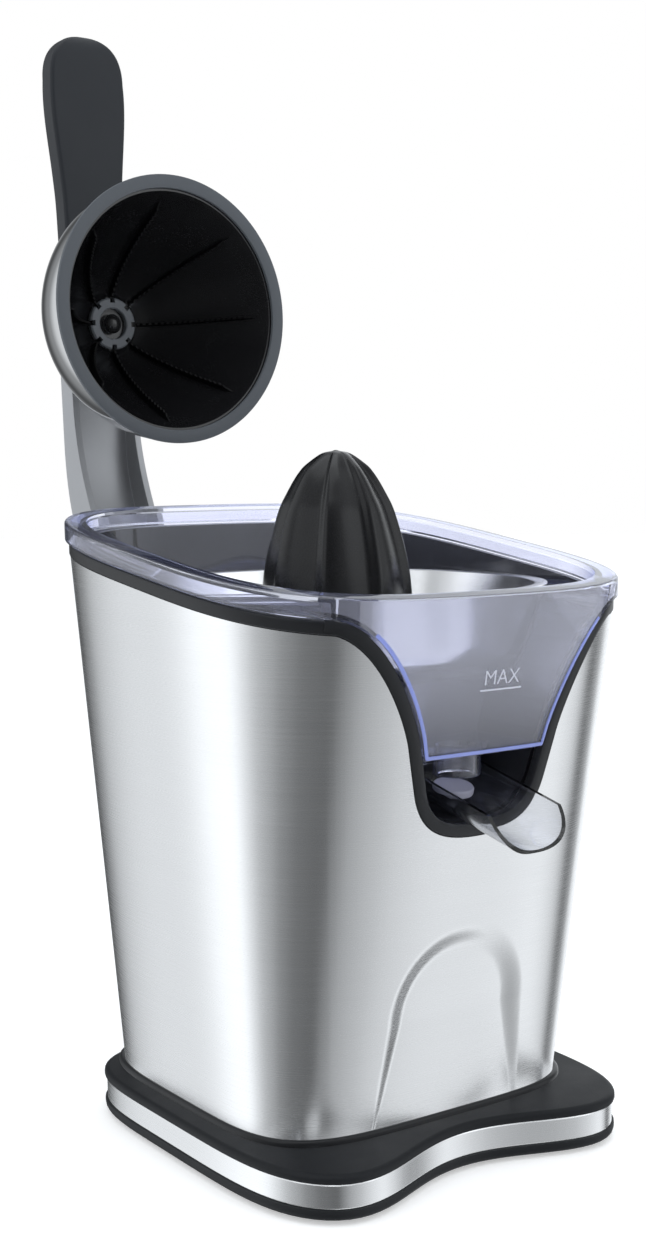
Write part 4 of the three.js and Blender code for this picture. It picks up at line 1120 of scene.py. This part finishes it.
def grip_half_width(along):
    """The grip's half width: a curve to the shoulder, and a full round from there to its end."""
    if along >= GRIP_SHOULDER:
        left = (GRIP_END - along) / (GRIP_END - GRIP_SHOULDER)
        return 20.6 * max(0.0, 1 - (1 - left) ** 2.3) ** (1 / 2.3)
    edge = [(12, 139)]
    edge += bezier(edge[-1], (14.5, 165), (13, 180), (14.5, 195), 16)
    edge += bezier(edge[-1], (16, 215), (19, 230), (17.6, GRIP_SHOULDER), 16)
    before, after = next(pair for pair in zip(edge, edge[1:]) if pair[1][1] >= along)
    return 3 + mix(before[0], after[0], (along - before[1]) / (after[1] - before[1]))


def build_grip():
    """A flat paddle, with a slot for the arm's tongue."""
    rings = []
    steps = 64
    for step in range(steps + 1):
        along = mix(GRIP_START, GRIP_END, math.sin(step / steps * math.pi / 2))
        left = min(1, (GRIP_END - along) / (GRIP_END - GRIP_SHOULDER))
        thick = GRIP_HALF * min(1.0, max(0.0, 1 - (1 - left) ** 5) ** (1 / 2.6) + 0.02)
        section = rounded_rectangle(max(grip_half_width(along), 0.1), thick, GRIP_CORNER)
        rings.append([(x, -along, GRIP_MIDDLE + up) for x, up in section])
    grip = loft("grip", rings, turn=LEVER)
    slot = box("slot", (-7.4, 7.4), (-197, -120), (82.6, 88.4), LEVER)
    grip = combine(grip, "DIFFERENCE", slot)
    finish_piece(grip, slate_grip, "black_matte", "lever", "lever_grip", crease=50)


DOME_RADIUS = 62.8
DOME_DEPTH = 74.4
COVER_RADIUS = DOME_RADIUS - 0.6
COVER_WALL = 1.2
COVER_FULLNESS = 1.85
CUP_RADIUS = 56.2
CUP_HEIGHT = 69.8  # of the whole curve, which the hub cuts off at the cup's depth
CUP_DEPTH = 65.8
RIM_THICKNESS = 1.6
RIM_DEPTH = RIM_THICKNESS + GAP


def dome_line(radius, height, start, end, steps, fullness=1.0):
    """A bowl's curve between two depths, as pairs of radius and depth. A fuller one has steeper sides."""
    line = []
    for i in range(steps + 1):
        depth = start + (end - start) * (1 - (1 - i / steps) ** 2)
        line.append((radius * math.sqrt(max(0.0, 1 - (depth / height) ** fullness)), depth))
    return line


CUP_RIBS = 8
SERRATION = 3.2  # spacing of the teeth along a rib


def cover_line(inset, end):
    line = dome_line(COVER_RADIUS - inset, DOME_DEPTH - inset, RIM_DEPTH, end, 60, COVER_FULLNESS)
    return line[:-1] + [(3, end)]


def build_dome_cover():
    skin = cover_line(0, DOME_DEPTH - 0.2)
    under = cover_line(COVER_WALL, DOME_DEPTH - COVER_WALL - 0.3)
    cover = lathe("dome_shell", skin + under[::-1], hollow=True, turn=DOME)
    finish_piece(cover, polished_steel, "polished_steel", "lever", "dome_cover", crease=50)


def build_liner():
    """The black cup inside the dome, with its ribs."""
    back = dome_line(DOME_RADIUS - 2.3, DOME_DEPTH - 2, RIM_DEPTH, 68.4, 30) + [(3, 68.4), (3, CUP_DEPTH)]
    cup = dome_line(CUP_RADIUS, CUP_HEIGHT, RIM_DEPTH, CUP_DEPTH, 60)
    liner = lathe("cup_liner", back + cup[::-1], hollow=True, turn=DOME)
    finish_piece(liner, black_gloss, "black_satin", "lever", "dome_liner", crease=50)
    for number in range(CUP_RIBS):
        build_cup_rib(number)


def build_dome_rim():
    inner, outer = CUP_RADIUS + 0.4, DOME_RADIUS
    rim = [(inner, RIM_THICKNESS), (inner, 0.4), (inner + 0.15, 0.1), (inner + 0.5, 0)]
    rim += [(outer - 0.5, 0), (outer - 0.15, 0.1), (outer, 0.4), (outer, RIM_THICKNESS)]
    rim = lathe("cup_rim", rim, hollow=True, turn=DOME)
    finish_piece(rim, slate_rim, "grey_rim", "lever", "dome_rim", crease=40)


def build_hub():
    """The notched ring in the middle of the cup, and the button in it."""
    seat = CUP_DEPTH - GAP
    hub = [(7.6, seat), (7.6, 62.9), (8.1, 62.4), (12.1, 62.4), (12.8, 63.1), (12.8, seat)]
    ring = lathe("hub_ring", hub, hollow=True, turn=DOME)
    notches = []
    for i in range(CUP_RIBS):
        turn = DOME @ Matrix.Rotation(2 * math.pi * i / CUP_RIBS, 4, "Z")
        notches.append(box("notch", (10.4, 16), (-1.3, 1.3), (60, 70), turn))
    ring = combine(ring, "DIFFERENCE", *notches)
    finish_piece(ring, grey_hub, "grey_rubber", "lever", "dome_hub_ring", crease=40)

    button = [(0, 60.6), (1.4, 60.7), (2.7, 61.1), (3.8, 61.8), (4.5, 62.6), (4.8, 63.3)]
    button += [(4.8, 63.6), (0, 63.6)]
    button = lathe("hub_button", button, sides=96, turn=DOME)
    finish_piece(button, black_gloss, "black_satin", "lever", "dome_button", crease=50)


def build_cup_rib(number):
    """A thin rib inside the cup, with a toothed crest, from the hub nearly to the rim."""
    angle = 2 * math.pi * number / CUP_RIBS
    turn = DOME @ Matrix.Rotation(angle, 4, "Z")
    line = dome_line(CUP_RADIUS, CUP_HEIGHT, 8.5, CUP_DEPTH - 1.2, 200)
    rings = []
    travelled = 0.0
    for i, (radius, depth) in enumerate(line):
        if i:
            travelled += math.hypot(radius - line[i - 1][0], depth - line[i - 1][1])
        if radius < 13.4:
            break
        fade = smoothstep(travelled / 9) * smoothstep((radius - 12.0) / 5)
        tooth = abs(((travelled / SERRATION) % 1.0) * 2 - 1)
        high = fade * (2.3 + 0.9 * smoothstep(tooth))
        lean = 1 - 0.35 * radius / CUP_RADIUS
        out, down = -high * math.sqrt(1 - (1 - lean) ** 2), -high * 0.55
        rings.append(
            [
                (radius + 0.8, -1.0, depth + 0.5),
                (radius + out, -0.45, depth + down),
                (radius + out, 0.45, depth + down),
                (radius + 0.8, 1.0, depth + 0.5),
            ]
        )
    rib = loft(f"cup_rib_{number + 1}", rings, turn=turn)
    finish_piece(rib, rib_black, "black_satin", "lever", crease=50)


# ---------- hinge ----------
def build_hinge():
    """The caps on both ends of the pivot shaft."""
    for side, name in ((-1, "left"), (1, "right")):
        inner, outer = 27.3, 31.0
        profile = [(0.4, 28.6), (4.3, 28.6), (4.3, inner), (6.8, inner), (7, inner + 0.3)]
        profile.append((7, outer - 1.1))
        for a in (0.4, 0.8, 1.2, 1.57):
            profile.append((7 - 1.4 * (1 - math.cos(a)), outer - 1.1 + 1.1 * math.sin(a)))
        profile += [(3.0, outer), (0.4, outer)]
        turn = Matrix.Translation(PIVOT) @ Matrix.Rotation(side * math.pi / 2, 4, "Y")
        cap = lathe(f"hinge_cap_{name}", profile, sides=64, turn=turn)
        finish_piece(cap, black_satin, "black_satin", "stand", f"pivot_cap_{name}")


# ---------- stage ----------
FLOOR_GLOW = 0.42
FLOOR_RADIUS = 6000


def build_stage():
    """A pale floor that glows a little and isn't mirrored in the metal."""
    floor = loft("floor", [circle(FLOOR_RADIUS, -0.6), circle(FLOOR_RADIUS, -0.5)])
    n = Finish("floor")
    n.drive(Base_Color=n.blend(n.noise(60.0, detail=2.0), (0.90, 0.90, 0.90), (0.915, 0.915, 0.915)))
    n.set(Roughness=0.55, Emission_Color=(1, 1, 1, 1), Emission_Strength=FLOOR_GLOW)
    floor.data.materials.append(n.material)
    floor.visible_glossy = False


def area_light(name, place, target, size, power):
    light = bpy.data.lights.new(name, "AREA")
    light.shape = "RECTANGLE"
    light.size, light.size_y = (s * MM for s in size)
    light.energy = power
    light.color = COOL
    lamp = show(name, light)
    lamp.location = in_frame(place)
    lamp.rotation_euler = (in_frame(target) - lamp.location).to_track_quat("-Z", "Y").to_euler()


# The studio seen in the steel, as pairs of direction (degrees from +X towards +Y) and brightness.
STUDIO = (
    (-180, 0.50), (-165, 0.30), (-145, 0.20), (-118, 0.16), (-105, 0.34), (-92, 0.52),
    (-76, 0.64), (-60, 0.84), (-46, 1.02), (-32, 1.20), (-18, 0.95), (-5, 0.10),
    (6, 0.40), (20, 1.20), (44, 1.30), (60, 0.50), (80, 0.08), (95, 0.28),
    (108, 0.72), (118, 0.98), (130, 1.42), (148, 1.50), (160, 0.95), (170, 0.62),
)
STUDIO_PEAK = 1.7
CEILING = 0.85
CEILING_START, CEILING_END = 0.55, 0.95  # the slope over which the ring turns into the ceiling
COOL = (0.945, 0.98, 1.01)  # the studio light's tint


def glow(bright):
    return tuple(bright / STUDIO_PEAK * c for c in COOL)


def build_world():
    """A white backdrop for the camera, and for everything else a ring of soft and dark panels."""
    world = bpy.data.worlds.new("studio")
    world.use_nodes = True
    bpy.context.scene.world = world
    g = Graph(world.node_tree)
    split = g.add("ShaderNodeSeparateXYZ")
    g.link(g.add("ShaderNodeTexCoord").outputs["Generated"], split.inputs[0])
    turn = g.math("ARCTAN2", split.outputs["Y"], split.outputs["X"])
    ring = g.add("ShaderNodeValToRGB")
    g.link(g.ramp(turn, -math.pi, math.pi, 0, 1), ring.inputs[0])
    ring.color_ramp.interpolation = "EASE"
    stops = ring.color_ramp.elements
    for angle, bright in STUDIO[1:]:
        stops.new((angle + 180) / 360).color = (*glow(bright), 1.0)
    for end in (stops[0], stops[-1]):
        end.color = (*glow(STUDIO[0][1]), 1.0)
    high = g.ramp(split.outputs["Z"], CEILING_START, CEILING_END, 0, 1)
    back = g.find("BACKGROUND")
    g.link(g.blend(high, ring.outputs[0], glow(CEILING)), back.inputs["Color"])
    back.inputs["Strength"].default_value = STUDIO_PEAK
    backdrop = g.add("ShaderNodeBackground", Color=(1, 1, 1, 1))
    g.split_rays("Is Camera Ray", backdrop, "OUTPUT_WORLD")


def build_lights():
    area_light("left_softbox", (-1300, -300, 900), (0, 0, 200), (900, 900), 2.6)
    area_light("right_softbox", (700, -1300, 800), (0, 0, 200), (900, 900), 2.4)
    area_light("top_softbox", (0, -100, 1600), (0, 0, 0), (1400, 1400), 7.0)


CAMERA_PLACE = (-441.4, -617.4, 296.4)
CAMERA_TURN = (78.32, 0.39, -35.64)  # degrees: up from straight down, roll, and to the right of +Y
CAMERA_LENS = 49.33
CAMERA_SHIFT = (-0.0121, 0.1458)  # keeps the press's upright edges nearly parallel


def build_camera():
    camera = show("camera", bpy.data.cameras.new("camera"))
    camera.location = in_frame(CAMERA_PLACE)
    camera.rotation_euler = [math.radians(angle) for angle in CAMERA_TURN]
    camera.data.sensor_width = 36
    camera.data.lens = CAMERA_LENS
    camera.data.shift_x, camera.data.shift_y = CAMERA_SHIFT
    bpy.context.scene.camera = camera


bpy.context.scene.view_settings.view_transform = "Standard"
dress_carried_nodes()
build_camera()
build_world()
build_lights()
build_stage()
build_bottom_cover()
build_trim_band()
build_top_cover()
build_collar()
build_shell()
build_trim()
build_collector()
build_shield_edge()
build_level_mark()
build_strainer()
build_reamer()
build_spout()
build_arm()
build_grip()
build_dome_cover()
build_liner()
build_dome_rim()
build_hub()
build_hinge()
